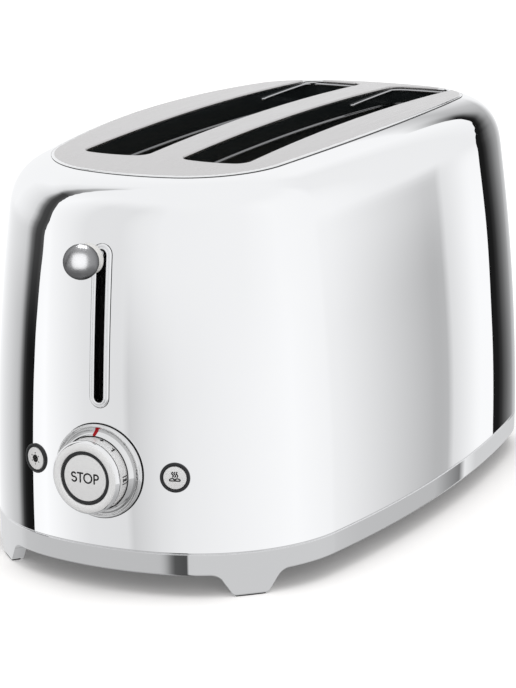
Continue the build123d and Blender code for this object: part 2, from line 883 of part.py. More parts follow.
def lift_spring():
    """Spring between the carriage's hook tab and the top bracket, wound as one helix."""
    bottom = carriage_bottom + hook_height + hook_sheet
    length = bracket_bottom - bottom - 2 * spring_wire_radius
    helix = Helix(pitch=length / spring_turns, height=length, radius=spring_radius)
    start = helix @ 0
    wire = Plane(origin=start, z_dir=helix % 0) * Circle(spring_wire_radius)
    coil = sweep(wire, path=helix, is_frenet=True)
    return Pos(spring_x, rod_y, bottom + spring_wire_radius) * coil


def lever_bezel():
    """Chromed rim round the lever's slot, with a neck that goes through the shell."""
    front = -half_length - clear_of_body
    rim = obround((bezel_width - lever_slot_width) / 2, front, shroud_back)
    rim = (rim & body_form(-bezel_proud, band_top)) - body_form(0, band_top)
    neck = obround(bezel_neck, front, shroud_back) & body_form(-bezel_proud / 2, band_top)
    neck -= body_form(shell_sheet + bezel_lap, band_top)
    return (rim + neck) - obround(0, front - past, shroud_back + past)


def lever_shroud():
    """Black channel behind the slot, which hides the works."""
    low, high = bezel_bottom - shroud_margin, bezel_top + shroud_margin
    half = shroud_half_width
    channel = block(-half, half, -half_length, shroud_back, low, high)
    half -= shroud_sheet
    low, high = low + shroud_sheet, high - shroud_sheet
    channel -= block(-half, half, -half_length - past, shroud_back + past, low, high)
    return channel & body_form(shell_sheet, band_top)


def dial_flange():
    """Chromed ring on the wall behind the dial, with a hollowed face."""
    flange = bar_y(flange_radius, flange_face, shroud_back, 0, control_height)
    edge = flange.edges().filter_by(GeomType.CIRCLE).sort_by(Axis.Y)[0]
    flange = fillet(edge, flange_edge) - body_form(0, band_top)
    flange -= bar_y(flange_bore, flange_face - past, 0, 0, control_height)
    hollow = Torus(flange_dish_radius, flange_dish_width)
    centre = flange_face - flange_dish_width + flange_dish_depth
    return flange - Pos(0, centre, control_height) * Rot(90, 0, 0) * hollow


def dial_knob():
    """Turned knob with a rounded edge, a fine line round it and a pocket in its face."""
    knob = bar_y(knob_radius, knob_face, knob_back, 0, control_height)
    edge = knob.edges().filter_by(GeomType.CIRCLE).sort_by(Axis.Y)[0]
    knob = fillet(edge, knob_edge)
    knob -= bar_y(light_ring_radius, knob_face - past, pocket_floor, 0, control_height)
    knob -= bar_y(spindle_radius + screw_fit, pocket_floor - past, knob_back + past, 0, control_height)
    line, inner = knob_face + knob_line_at, knob_radius - knob_line
    return knob - tube_y(knob_radius + past, inner, line, line + knob_line, 0, control_height)


def dial_light_ring():
    """Dark ring that lights up round the stop button."""
    front = knob_face + light_ring_recess
    return tube_y(
        light_ring_radius - screw_fit, stop_radius + running_gap, front, front + light_ring_depth,
        0, control_height,
    )


def dial_spindle():
    """Tube from the knob into the potentiometer; the stop button's stem goes through it."""
    return tube_y(spindle_radius, spindle_bore, pocket_floor, board_face - running_gap, 0, control_height)


def potentiometer():
    """Ring-shaped potentiometer on the board, turned by the spindle."""
    return tube_y(
        pot_radius, spindle_radius + running_gap, board_face - pot_depth, board_face, 0, control_height
    )


def stop_button():
    """Satin disc with a stem, in the middle of the dial."""
    button = bar_y(stop_radius, stop_face, stop_back, 0, control_height)
    edge = button.edges().filter_by(GeomType.CIRCLE).sort_by(Axis.Y)[0]
    button = fillet(edge, running_gap)
    end = stop_switch_top - stop_travel - running_gap
    return button + bar_y(stop_stem_radius, stop_back, end, 0, control_height)


def side_button_reach(side):
    """Depth of a side button's stem that leaves its travel above the switch."""
    plane = button_plane(side)
    tilt = abs(plane.z_dir.X) * button_stem_radius
    return (tact_top - running_gap - tilt - plane.origin.Y) / abs(plane.z_dir.Y) - button_travel


def side_button(side):
    """Satin cap with a stem, square to the curved wall."""
    plane = button_plane(side)
    cap = disc(plane, button_radius, button_proud - button_cap_depth, button_proud)
    heights = [plane.to_local_coords(edge.center()).Z for edge in cap.edges()]
    front = [edge for edge, height in zip(cap.edges(), heights) if abs(height - button_proud) < hair]
    cap = fillet(front, running_gap)
    return cap + disc(plane, button_stem_radius, -side_button_reach(side), button_proud - button_cap_depth)


def button_ring(side):
    """Dark ring round a side button, with a neck through the shell."""
    plane = button_plane(side)
    bore = button_radius + running_gap
    ring_face = disc(plane, button_ring_radius, -button_ring_proud * 2, button_ring_proud)
    ring_face -= body_form(0, band_top)
    ring_face += disc(plane, bore + button_neck, -button_ring_depth, button_ring_proud)
    return ring_face - disc(plane, bore, -button_ring_depth - past, button_ring_proud + past)


def board_switches():
    """Push switches on the board, behind the stop button and the side buttons."""
    half = tact_half_width
    switches = [
        block(-half, half, stop_switch_top, board_face, control_height - half, control_height + half)
    ]
    for side in (-1, 1):
        plane = button_plane(side)
        x = plane.origin.X - plane.z_dir.X * side_button_reach(side)
        switches.append(
            block(x - half, x + half, tact_top, board_face, control_height - half, control_height + half)
        )
    return switches


def board_screw_places():
    """Corners of the control board where its screws go."""
    x = board_half_width - board_screw_margin
    heights = (board_bottom + board_screw_margin, board_top - board_screw_margin)
    return [(side * x, z) for side in (-1, 1) for z in heights]


def control_board():
    """Printed circuit board behind the dial and the buttons."""
    half = board_half_width
    board = block(-half, half, board_face, board_back, board_bottom, board_top)
    for x, z in board_screw_places():
        board -= bar_y(screw_radius + screw_hole_gap, board_face - past, board_back + past, x, z)
    return board


def board_bracket():
    """Folded bracket on the pan that carries the control board."""
    half = board_half_width
    toe, sole = upright_face + upright_foot, pan_top + bracket_sheet
    bracket = block(-half, half, upright_face, upright_back, pan_top, board_top)
    bracket += block(-half, half, upright_face, toe, pan_top, sole)
    for x, z in board_screw_places():
        bracket -= bar_y(screw_radius + screw_fit, upright_face - past, upright_back + past, x, z)
    return bracket


def board_spacers():
    """Sleeves between the board and its bracket."""
    return [
        tube_y(spacer_radius, screw_radius + screw_hole_gap, board_back, upright_face, x, z)
        for x, z in board_screw_places()
    ]


def board_screws():
    """Slotted screws through the board and its spacers into the bracket."""
    screws = []
    head = board_face - screw_head_height
    half = screw_recess_half
    for x, z in board_screw_places():
        screw = bar_y(screw_head_radius, head, board_face, x, z)
        screw += bar_y(screw_radius, board_face, upright_back + past, x, z)
        across = screw_head_radius + past
        slot = block(x - across, x + across, head - past, head + screw_head_height / 2, z - half, z + half)
        screws.append(screw - slot)
    return screws


def power_switch():
    """Switch on the board's bracket that the carriage's finger closes."""
    half = switch_half_width
    return block(
        switch_x - half, switch_x + half, upright_back, upright_back + switch_depth,
        switch_top - switch_height, switch_top,
    )


def magnet_core():
    """Iron core of the holding magnet: base, post and the coil's seat."""
    back, base_top = magnet_y + magnet_half_depth, pan_top + pan_thickness
    core = block(-magnet_base, magnet_base, magnet_front, back, pan_top, base_top)
    core += bar_z(magnet_post_radius, pan_top, magnet_top, 0, magnet_y)
    flange_bottom = coil_bottom - magnet_flange_thickness
    return core + bar_z(magnet_flange_radius, flange_bottom, coil_bottom, 0, magnet_y)


def magnet_coil():
    """Wound coil on the magnet's post."""
    return tube_z(
        coil_radius, magnet_post_radius + screw_fit, coil_bottom, coil_bottom + coil_height, 0, magnet_y
    )


def cable_gland():
    """Rubber bush in the pan for the mains lead."""
    low = ledge_top - gland_flange
    gland = bar_z(gland_body_radius, low - gland_nozzle, pan_top + gland_flange, gland_x, gland_y)
    gland += bar_z(gland_flange_radius, low, ledge_top, gland_x, gland_y)
    gland += bar_z(gland_flange_radius, pan_top, pan_top + gland_flange, gland_x, gland_y)
    return gland - bar_z(gland_bore, 0, over_top, gland_x, gland_y)


def terminal_block():
    """Screw terminals on the back of the rear end plate, where the lead ends."""
    front = chamber_back + end_sheet
    top = terminal_bottom + terminal_height
    terminal = block(
        -terminal_half_width, terminal_half_width, front, front + terminal_depth, terminal_bottom, top
    )
    pitch = 2 * terminal_half_width / terminal_screws
    for way in range(terminal_screws):
        x = -terminal_half_width + pitch * (way + 0.5)
        terminal -= bar_z(screw_head_radius, top - screw_reach, top + past, x, front + terminal_depth / 2)
    return terminal


os.makedirs("parts", exist_ok=True)
corners = [(x_side, y_side) for x_side in (-1, 1) for y_side in (-1, 1)]

save("outer_shell", outer_shell())
save("top_plate", top_plate())
save("slot_collar_left", slot_collar(-1))
save("slot_collar_right", slot_collar(1))
save("base_band", base_band())
save("foot_pads", *[foot_pad(*corner) for corner in corners])
save("base_pan", base_pan())
save("base_screws", *[pan_screw(*place) for place in pan_screw_places()])
save("cable_gland", cable_gland())

save("crumb_tray", crumb_tray())
save("crumb_tray_grip", tray_grip())
save("tray_rails", tray_rail(-1), tray_rail(1))

save("front_end_plate", end_plate(-1))
save("rear_end_plate", end_plate(1))
save("heat_shield_left", heat_shield(-1))
save("heat_shield_right", heat_shield(1))
save("terminal_block", terminal_block())
for name, place, facing in heater_places():
    save(f"heater_card_{name}", heater_card(place))
    save(f"heater_ribbon_{name}", heater_ribbon(place, facing))
for name, place, _ in cage_places():
    save(f"bread_cage_{name}", bread_cage(place))

save("bread_lifter_left", bread_lifter(-1))
save("bread_lifter_right", bread_lifter(1))
save("carriage", carriage())
save("armature", armature())
save("guide_rods", guide_rod(-1), guide_rod(1))
save("guide_bracket", guide_bracket())
save("lift_spring", lift_spring())
save("magnet_core", magnet_core())
save("magnet_coil", magnet_coil())
save("power_switch", power_switch())

save("lever_arm", lever_arm())
save("lever_knob", lever_knob())
save("lever_collar", lever_collar())
save("lever_bezel", lever_bezel())
save("lever_shroud", lever_shroud())

save("dial_flange", dial_flange())
save("dial_knob", dial_knob())
save("dial_light_ring", dial_light_ring())
save("dial_spindle", dial_spindle())
save("potentiometer", potentiometer())
save("stop_button", stop_button())
save("defrost_button", side_button(-1))
save("reheat_button", side_button(1))
save("button_rings", button_ring(-1), button_ring(1))

save("control_board", control_board())
save("board_switches", *board_switches())
save("board_bracket", board_bracket())
save("board_spacers", *board_spacers())
save("board_screws", *board_screws())
print("origin shift", round(origin_shift, 3))
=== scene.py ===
from functools import partial
from math import asin, atan, atan2, cos, hypot, pi, radians, sin, sqrt, tan

import bmesh
import bpy
import numpy as np
from mathutils import Matrix, Vector


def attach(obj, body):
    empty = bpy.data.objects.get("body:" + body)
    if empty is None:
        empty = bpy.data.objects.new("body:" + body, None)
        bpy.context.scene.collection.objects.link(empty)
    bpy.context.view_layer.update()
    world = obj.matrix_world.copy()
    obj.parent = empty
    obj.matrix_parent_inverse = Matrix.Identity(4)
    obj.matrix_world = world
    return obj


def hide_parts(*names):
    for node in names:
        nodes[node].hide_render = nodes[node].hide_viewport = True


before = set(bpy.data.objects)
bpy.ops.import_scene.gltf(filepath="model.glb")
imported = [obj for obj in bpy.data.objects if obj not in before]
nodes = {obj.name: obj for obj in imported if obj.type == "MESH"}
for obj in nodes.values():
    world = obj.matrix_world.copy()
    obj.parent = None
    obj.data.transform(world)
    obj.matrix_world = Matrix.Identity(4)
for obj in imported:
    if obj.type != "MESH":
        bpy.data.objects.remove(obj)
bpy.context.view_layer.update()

# The studio, which is no part of the toaster: a plain pale floor, soft lamps, and pale screens
# all round that only polished metal sees. The edges of these screens are what shapes chrome.
FLOOR_SIZE = 14.0
FLOOR_COLOUR = (0.93, 0.915, 0.905, 1)
FLOOR_LIFT = 0.54
# How far the painted contact shadow on the floor reaches, how steeply it darkens, and the least
# share of the glow it keeps.
SHADOW_REACH, SHADOW_DEPTH, SHADOW_LEAST = 0.14, 1.9, 0.20
WHITE = (1, 1, 1, 1)
SCREEN_TINT = (0.991, 0.998, 1.008, 1)
DIFFUSE_LEVEL = 0.55


def fill(node, inputs):
    """Gives each input of a node its number or colour, or its link."""
    for name, value in inputs.items():
        if isinstance(value, bpy.types.NodeSocket):
            node.id_data.links.new(value, node.inputs[name])
        else:
            node.inputs[name].default_value = value


def wired(tree, kind, inputs, **settings):
    """A new node with its settings and its inputs."""
    node = tree.nodes.new(kind)
    for name, value in settings.items():
        setattr(node, name, value)
    fill(node, inputs)
    return node


def maths(tree, operation, *values):
    """What a Math node makes of numbers or sockets."""
    return wired(tree, "ShaderNodeMath", dict(enumerate(values)), operation=operation).outputs[0]


def new_material(name, inputs):
    """A new material with its node tree and its shader, whose inputs are set."""
    material = bpy.data.materials.new(name)
    material.use_nodes = True
    shader = material.node_tree.nodes["Principled BSDF"]
    fill(shader, inputs)
    return material, material.node_tree, shader


def mesh_piece(name, points, faces, material=None):
    """A new smooth-shaded object from points and faces, linked to the scene."""
    mesh = bpy.data.meshes.new(name)
    mesh.from_pydata([tuple(p) for p in points], [], faces)
    mesh.update()
    mesh.shade_smooth()
    piece = bpy.data.objects.new(name, mesh)
    bpy.context.scene.collection.objects.link(piece)
    if material:
        mesh.materials.append(material)
    return piece


def studio_floor():
    """The floor: it keeps the toaster's shadow, adds a painted contact shadow to its camera-only
    glow, and stays out of the chrome's reflections.
    """
    half = FLOOR_SIZE / 2
    corners = [(-half, -half, 0), (half, -half, 0), (half, half, 0), (-half, half, 0)]
    material, tree, shader = new_material("studio_white", {
        "Base Color": FLOOR_COLOUR, "Roughness": 0.9, "Specular IOR Level": 0.0,
    })
    ray = wired(tree, "ShaderNodeLightPath", {})
    # Ambient occlusion dims the floor's camera-only glow near the toaster: a painted contact
    # shadow.
    painted_shadow_occlusion = wired(tree, "ShaderNodeAmbientOcclusion", {"Distance": SHADOW_REACH})
    shade = maths(tree, "POWER", painted_shadow_occlusion.outputs["AO"], SHADOW_DEPTH)
    shade = maths(tree, "MULTIPLY_ADD", shade, 1 - SHADOW_LEAST, SHADOW_LEAST)
    lift = maths(tree, "MULTIPLY", ray.outputs["Is Camera Ray"], FLOOR_LIFT)
    glow = wired(tree, "ShaderNodeEmission", {
        "Color": WHITE, "Strength": maths(tree, "MULTIPLY", lift, shade),
    })
    both = wired(tree, "ShaderNodeAddShader", {0: shader.outputs[0], 1: glow.outputs[0]})
    fill(tree.nodes["Material Output"], {"Surface": both.outputs[0]})
    floor = mesh_piece("studio_floor", corners, [(0, 1, 2, 3)], material)
    floor.visible_glossy = False


# Levels of the screens by bearing in degrees, seen from below and level, then the one overhead.
LOW_SCREENS = [
    (-180, 0.94), (-148, 1.05), (-136, 0.90), (-126, 0.80), (-109, 0.77), (-107.5, 0.64),
    (-96, 0.79), (-80, 0.87), (-50, 0.93), (-20, 0.98), (5, 1.02), (40, 0.96), (46, 0.91),
    (54, 0.72), (64, 0.48), (67, 0.52), (67.5, 0.76), (74, 1.01), (110, 1.02), (130, 1.04),
    (140, 0.98), (180, 0.94),
]
HIGH_SCREENS = [
    (-180, 0.98), (-148, 1.01), (-136, 0.90), (-128, 0.81), (-112, 0.80), (-104, 0.87),
    (-94, 0.92), (-30, 0.94), (0, 0.99), (46, 0.97), (56, 0.90), (76, 0.89), (90, 0.98),
    (130, 0.97), (180, 0.98),
]
CEILING = 0.94
# What upright metal sees of the floor, by bearing, and its level further down, by elevation.
FLOOR_SCREENS = [
    (-180, 0.68), (-172, 0.58), (-155, 0.56), (-96, 0.555), (-93.4, 0.50), (-90.7, 0.39),
    (-87.4, 0.20), (-84.5, 0.098), (-77.2, 0.082), (-75, 0.082), (-74.6, 0.64), (-70, 0.655),
    (29, 0.655), (45, 0.64), (52, 0.56), (66, 0.52), (69, 0.34), (71.8, 0.21), (71.95, 0.93),
    (74, 0.82), (76, 0.67), (100, 0.66), (125, 0.75), (157, 0.74), (172, 0.71), (180, 0.68),
]
FLOOR_DEPTH = [
    (-90, 0.75), (-70, 0.72), (-50, 0.70), (-38, 0.80), (-28, 0.95), (-20, 1.0), (0, 1.0),
]
# The elevation at which the floor begins, by bearing.
FLOOR_EDGE = [
    (-180, -18.9), (-154, -19.4), (-120, -20.0), (-60, -20.2), (0, -20.0), (29, -19.6),
    (45, -19.3), (54, -18.7), (63, -18.1), (80, -16.8), (97, -16.05), (112, -16.4),
    (125, -17.55), (140, -18.0), (157, -18.4), (180, -18.9),
]
# The dark gap on the left: the bearing of its edge by elevation, then how it fades with the
# degrees past its edge, from below and level, and how much narrower and fainter it is higher up.
LEFT_EDGE = [
    (-20, -160.9), (-14, -160.4), (-10, -159.7), (-7, -158.4), (-4, -155.9), (-2, -153.5),
    (0, -151.6), (3, -149.8), (8, -149.0), (14, -148.8), (22, -149.1), (28, -150.6),
    (33, -152.2), (37, -154.2), (41, -156.9), (45, -159.9), (50, -164.6), (55, -171),
    (60, -180), (64, -188),
]
LEFT_FADE_LOW = [
    (0, 0.008), (6, 0.009), (9, 0.015), (12, 0.05), (15, 0.22), (18, 0.47), (21, 0.58),
    (26, 0.64), (33, 0.72), (45, 0.84), (60, 0.98), (70, 1.0),
]
LEFT_FADE_HIGH = [
    (0, 0.09), (4, 0.05), (9, 0.06), (13, 0.19), (17, 0.52), (21, 0.75), (27, 0.83),
    (35, 0.90), (50, 1.0), (70, 1.0),
]
LEFT_NARROW = [(-20, 1.0), (26, 1.0), (32, 1.1), (36, 1.25), (40, 1.45), (46, 1.6), (64, 1.6)]
LEFT_DEPTH = [(-20, 1.0), (42, 1.0), (50, 0.75), (60, 0.42), (64, 0.0), (90, 0.0)]
# The dark gap on the right, in the same way.
RIGHT_EDGE = [
    (-20, 80.0), (-16, 79.4), (-12, 78.3), (-8, 77.7), (-4, 77.0), (0, 76.9), (4, 78.2),
    (8, 80.5), (12, 84.3), (16, 88.8), (20, 92.6), (26, 93.2),
]
RIGHT_FADE = [
    (0, 0.01), (1.5, 0.012), (2.5, 0.035), (4, 0.13), (6, 0.32), (8, 0.45), (12, 0.53),
    (16, 0.58), (22, 0.75), (28, 0.95), (32, 1.0),
]
RIGHT_DEPTH = [(-20, 1.0), (18, 1.0), (26, 0.0), (90, 0.0)]


def studio_world():
    """Plain white for the camera, a plain level for diffuse light and the screens for gloss."""
    world = bpy.data.worlds.new("studio")
    bpy.context.scene.world = world
    world.use_nodes = True
    tree = world.node_tree
    tree.nodes.clear()
    calc = partial(maths, tree)

    def remap(value, low, high, new_low=0.0, new_high=1.0, smooth=False):
        """One span mapped on another and held at its ends."""
        spans = dict(enumerate((value, low, high, new_low, new_high)))
        way = "SMOOTHSTEP" if smooth else "LINEAR"
        return wired(tree, "ShaderNodeMapRange", spans, interpolation_type=way).outputs[0]

    def curve(value, stops, low=0.0, high=1.1, way="LINEAR"):
        """The number that the stops give for a value, where it lies between low and high."""
        node = tree.nodes.new("ShaderNodeValToRGB")
        node.color_ramp.interpolation = way
        marks = node.color_ramp.elements
        first, last = stops[0][0], stops[-1][0]
        for at, _ in stops[1:-1]:
            marks.new((at - first) / (last - first))
        for mark, (_, number) in zip(marks, stops):
            share = (number - low) / (high - low)
            mark.color = (share, share, share, 1)
        fill(node, {0: remap(value, first, last)})
        grey = wired(tree, "ShaderNodeSeparateColor", {0: node.outputs[0]})
        return remap(grey.outputs[0], 0, 1, low, high)

    def blend(share, one, other):
        """One number, going over to the other as the share rises."""
        return calc("ADD", one, calc("MULTIPLY", share, calc("SUBTRACT", other, one)))

    place = wired(tree, "ShaderNodeTexCoord", {})
    way = wired(tree, "ShaderNodeSeparateXYZ", {0: place.outputs["Generated"]}).outputs
    bearing = calc("DEGREES", calc("ARCTAN2", way["Y"], way["X"]))
    rise = calc("DEGREES", calc("ARCSINE", way["Z"]))

    low_bearing = calc("SUBTRACT", bearing, remap(rise, -18, -8, 1.3, -0.3))
    low, high = curve(low_bearing, LOW_SCREENS), curve(bearing, HIGH_SCREENS)
    screens = blend(remap(rise, -9, 1, smooth=True), low, high)
    screens = blend(remap(rise, 36, 60, smooth=True), screens, CEILING)

    edge = curve(rise, LEFT_EDGE, -190, -140, "CARDINAL")
    past = calc("WRAP", calc("SUBTRACT", edge, bearing), 360, 0)
    past = calc("MULTIPLY", past, curve(rise, LEFT_NARROW, 0, 2))
    low, high = curve(past, LEFT_FADE_LOW), curve(past, LEFT_FADE_HIGH)
    left = blend(remap(rise, -9.5, -2.5, smooth=True), low, high)
    left = blend(curve(rise, LEFT_DEPTH), 1.0, left)

    edge = curve(rise, RIGHT_EDGE, 70, 100, "CARDINAL")
    past = calc("MULTIPLY", calc("SUBTRACT", bearing, edge), remap(rise, -14, -5, 0.85, 1.1))
    right = blend(calc("GREATER_THAN", past, 0), 1.0, curve(past, RIGHT_FADE))
    right = blend(curve(rise, RIGHT_DEPTH), 1.0, right)

    level = calc("MULTIPLY", calc("MULTIPLY", screens, left), right)
    ground = calc("MULTIPLY", curve(bearing, FLOOR_SCREENS), curve(rise, FLOOR_DEPTH))
    below = calc("SUBTRACT", curve(bearing, FLOOR_EDGE, -21, -15), rise)
    level = blend(remap(below, -0.15, 0.15), level, ground)

    gloss = wired(tree, "ShaderNodeBackground", {"Color": SCREEN_TINT, "Strength": level})
    plain = wired(tree, "ShaderNodeBackground", {"Color": WHITE, "Strength": DIFFUSE_LEVEL})
    white = wired(tree, "ShaderNodeBackground", {"Color": WHITE})
    ray = wired(tree, "ShaderNodeLightPath", {}).outputs
    lit = wired(tree, "ShaderNodeMixShader", {
        0: ray["Is Glossy Ray"], 1: plain.outputs[0], 2: gloss.outputs[0],
    })
    seen = wired(tree, "ShaderNodeMixShader", {
        0: ray["Is Camera Ray"], 1: lit.outputs[0], 2: white.outputs[0],
    })
    wired(tree, "ShaderNodeOutputWorld", {"Surface": seen.outputs[0]})


def studio_lamp(name, place, aim, size, power):
    """A square soft light at a place, turned to its aim."""
    data = bpy.data.lights.new(name, "AREA")
    data.shape = "SQUARE"
    data.size = size
    data.energy = power
    lamp = bpy.data.objects.new(name, data)
    lamp.location = place
    lamp.rotation_euler = (Vector(aim) - Vector(place)).to_track_quat("-Z", "Y").to_euler()
    lamp.visible_glossy = False
    lamp.visible_camera = False
    bpy.context.scene.collection.objects.link(lamp)
    return lamp


studio_floor()
studio_world()
studio_lamp("overhead_light", (0.2, -0.3, 2.2), (0, 0, 0.1), 1.8, 16)
studio_lamp("front_light", (1.6, -1.8, 1.2), (0, 0, 0.1), 1.4, 9)

# The camera stands at the photograph's viewing angle: a long lens a metre and a half away,
# a little above the toaster and round to its right.
CAMERA_BEARING, CAMERA_ELEVATION, CAMERA_ROLL = 0.47306, 0.24942, -0.01047
CAMERA_DISTANCE = 1.5054
CAMERA_TARGET = (-0.00517, 0.005365, 0.0827)
CAMERA_LENS, CAMERA_SENSOR = 144.82, 36.0


def photo_camera():
    """Camera that looks at its target from a bearing and an elevation."""
    level = cos(CAMERA_ELEVATION)
    back = Vector((
        sin(CAMERA_BEARING) * level, -cos(CAMERA_BEARING) * level, sin(CAMERA_ELEVATION),
    ))
    right = (-back).cross(Vector((0, 0, 1))).normalized()
    up = right.cross(-back)
    across = right * cos(CAMERA_ROLL) + up * sin(CAMERA_ROLL)
    upright = -right * sin(CAMERA_ROLL) + up * cos(CAMERA_ROLL)
    place = Vector(CAMERA_TARGET) + back * CAMERA_DISTANCE
    data = bpy.data.cameras.new("camera")
    data.lens = CAMERA_LENS
    data.sensor_width = CAMERA_SENSOR
    camera = bpy.data.objects.new("camera", data)
    camera.matrix_world = Matrix((
        (across.x, upright.x, back.x, place.x),
        (across.y, upright.y, back.y, place.y),
        (across.z, upright.z, back.z, place.z),
        (0, 0, 0, 1),
    ))
    bpy.context.scene.collection.objects.link(camera)
    bpy.context.scene.camera = camera


photo_camera()
bpy.context.scene.view_settings.view_transform = "Standard"

# The base pan: a folded floor of dark lacquered sheet steel with two rails for the crumb tray.
# Eight plated screws hold it to the lugs of the base band and the tabs of the end plates.


def worked_metal(name, colour, tone, stretch, roughness, grain, relief, metallic=1.0):
    """Metal or plastic with a fine lay: stretched noise shifts its tone, gloss and relief."""
    material, tree, shader = new_material(name, {"Metallic": metallic})
    place = wired(tree, "ShaderNodeTexCoord", {})
    lay = wired(tree, "ShaderNodeMapping", {"Vector": place.outputs["Object"], "Scale": stretch})
    lines = wired(tree, "ShaderNodeTexNoise", {
        "Vector": lay.outputs[0], "Scale": grain, "Detail": 6.0, "Roughness": 0.6,
    }).outputs["Fac"]
    shade = wired(tree, "ShaderNodeMix", {
        "Factor": lines, "A": (*colour, 1), "B": (*tone, 1),
    }, data_type="RGBA")
    gloss = wired(tree, "ShaderNodeMapRange", {
        "Value": lines, "From Min": 0.3, "From Max": 0.7,
        "To Min": roughness * 0.8, "To Max": roughness * 1.2,
    })
    bump = wired(tree, "ShaderNodeBump", {
        "Strength": relief, "Distance": 0.0002, "Height": lines,
    })
    fill(shader, {
        "Base Color": shade.outputs["Result"], "Roughness": gloss.outputs[0],
        "Normal": bump.outputs[0],
    })
    return material


def grey(level):
    """A neutral colour."""
    return (level, level, level)


def dress(finish, *names):
    """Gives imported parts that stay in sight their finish."""
    for name in names:
        nodes[name].data.materials.clear()
        nodes[name].data.materials.append(finish)


EVEN = (1, 1, 1)
pan_steel = worked_metal("pan_steel", grey(0.10), grey(0.13), EVEN, 0.5, 200, 0.15, 0.6)
screw_steel = worked_metal(
    "screw_steel", (0.52, 0.52, 0.53), (0.60, 0.60, 0.61), EVEN, 0.3, 500, 0.1)
dress(pan_steel, "base_pan", "tray_rails")
dress(screw_steel, "base_screws")

# The foot pads: four blocks of black rubber pressed into the feet. The gland in the floor is
# of the same rubber, and the terminal block above it is moulded in black plastic.
pad_rubber = worked_metal("pad_rubber", grey(0.03), grey(0.05), EVEN, 0.8, 400, 0.3, 0.0)
black_plastic = worked_metal("black_plastic", grey(0.02), grey(0.035), EVEN, 0.45, 700, 0.2, 0.0)
dress(pad_rubber, "foot_pads", "cable_gland")
dress(black_plastic, "terminal_block")

# The baking chamber: two end plates and two heat shields of bright rolled sheet steel, folded
# and fixed to each other and to the pan.
ALONG_SHEET = (1, 14, 1)
chassis_steel = worked_metal(
    "chassis_steel", (0.60, 0.60, 0.58), (0.70, 0.70, 0.68), ALONG_SHEET, 0.28, 60, 0.05)
dress(chassis_steel, "front_end_plate", "rear_end_plate", "heat_shield_left", "heat_shield_right")

# The heaters: four cards of pressed mica that stand between the end plates, each wound with a
# flat ribbon of heating alloy that has darkened in use.
PLACES = ("left_outer", "left_inner", "right_inner", "right_outer")
mica = worked_metal("mica", (0.52, 0.46, 0.36), (0.68, 0.62, 0.52), (1, 3, 3), 0.45, 60, 0.15, 0.0)
heater_alloy = worked_metal(
    "heater_alloy", (0.22, 0.19, 0.17), (0.36, 0.31, 0.28), (1, 8, 1), 0.4, 80, 0.1)
dress(mica, *(f"heater_card_{place}" for place in PLACES))
dress(heater_alloy, *(f"heater_ribbon_{place}" for place in PLACES))

# The bread cages and the bread lifters: bent and welded steel wire and strip. The cages close
# on the bread while the lifters take it down.
wire_steel = worked_metal(
    "wire_steel", (0.45, 0.45, 0.44), (0.60, 0.60, 0.58), (1, 1, 8), 0.22, 200, 0.05)
dress(wire_steel, "bread_lifter_left", "bread_lifter_right")
dress(wire_steel, *(f"bread_cage_{place}" for place in PLACES))

# The carriage: a folded steel slide that runs on two drawn rods in their bracket, and is
# lifted again by a coiled spring.
rod_steel = worked_metal(
    "rod_steel", (0.60, 0.60, 0.61), (0.70, 0.70, 0.71), (1, 1, 30), 0.15, 200, 0.03)
dress(chassis_steel, "carriage", "guide_bracket")
dress(rod_steel, "guide_rods", "lift_spring")

# The holding magnet: enamelled copper wire wound on an iron core, and the iron armature on the
# carriage that it holds down. The power switch beside it is moulded in black plastic.
iron = worked_metal("iron", (0.20, 0.19, 0.18), (0.32, 0.30, 0.28), EVEN, 0.5, 300, 0.2)
copper_winding = worked_metal(
    "copper_winding", (0.50, 0.20, 0.08), (0.66, 0.30, 0.13), (1, 1, 60), 0.3, 60, 0.3)
dress(iron, "magnet_core", "armature")
dress(copper_winding, "magnet_coil")
dress(black_plastic, "power_switch")

# The control board: green laminate, screwed over spacers to a folded steel bracket. It carries
# three push switches and the potentiometer that the dial's hollow spindle turns.
board_green = worked_metal(
    "board_green", (0.01, 0.10, 0.04), (0.02, 0.16, 0.06), EVEN, 0.35, 300, 0.1, 0.0)
dress(board_green, "control_board")
dress(chassis_steel, "board_bracket")
dress(rod_steel, "board_spacers")
dress(screw_steel, "board_screws")
dress(black_plastic, "board_switches", "potentiometer", "dial_spindle")

# The body shell: one deep-drawn steel sheet with leaning walls and round shoulders, polished
# and chromed to a mirror. The slot for the lever and the holes for the controls are cut in it.
HALF_WIDTH, HALF_LENGTH = 0.104, 0.187
SIDE_RADIUS, END_RADIUS, CORNER_RADIUS = 0.750, 0.152, 0.0815
MIDDLE_Y = 0.010075
FRONT_Y = MIDDLE_Y - HALF_LENGTH
BAND_TOP, SHELL_CROWN = 0.0228, 0.2075
WALL_RADIUS, SHOULDER_RADIUS, ARCH_RADIUS = 1.197, 0.0255, 2.590
SHELL_SHEET, SHELL_LIP = 0.0012, 0.0002
SHELL_EDGE, LEDGE_EDGE, PLATE_UNDERSIDE = 0.0320, 0.0354, 0.2064
# The section is drawn in rows, and set to even steps once its curve is eased over this length.
# The inside keeps one row in six. The stations are those of a quarter's side, corner and end.
WALL_ROWS, SHOULDER_ROWS, TOP_ROWS, SETTLING_ROUNDS = 60, 60, 12, 25
SECTION_STEPS, FINER, EASE, INSIDE_STEP = 66, 6, 0.0055, 6
SHELL_STATIONS = (26, 60, 14)


def corner_centre():
    """Centre of the corner arc that runs smoothly into the side and the end arcs."""
    side_centre, end_centre = HALF_WIDTH - SIDE_RADIUS, HALF_LENGTH - END_RADIUS
    reach = hypot(side_centre, end_centre)
    to_side, to_end = SIDE_RADIUS - CORNER_RADIUS, END_RADIUS - CORNER_RADIUS
    along = (reach**2 + to_side**2 - to_end**2) / (2 * reach)
    aside = sqrt(to_side**2 - along**2)
    ux, uy = -side_centre / reach, end_centre / reach
    return side_centre + ux * along - uy * aside, uy * along + ux * aside


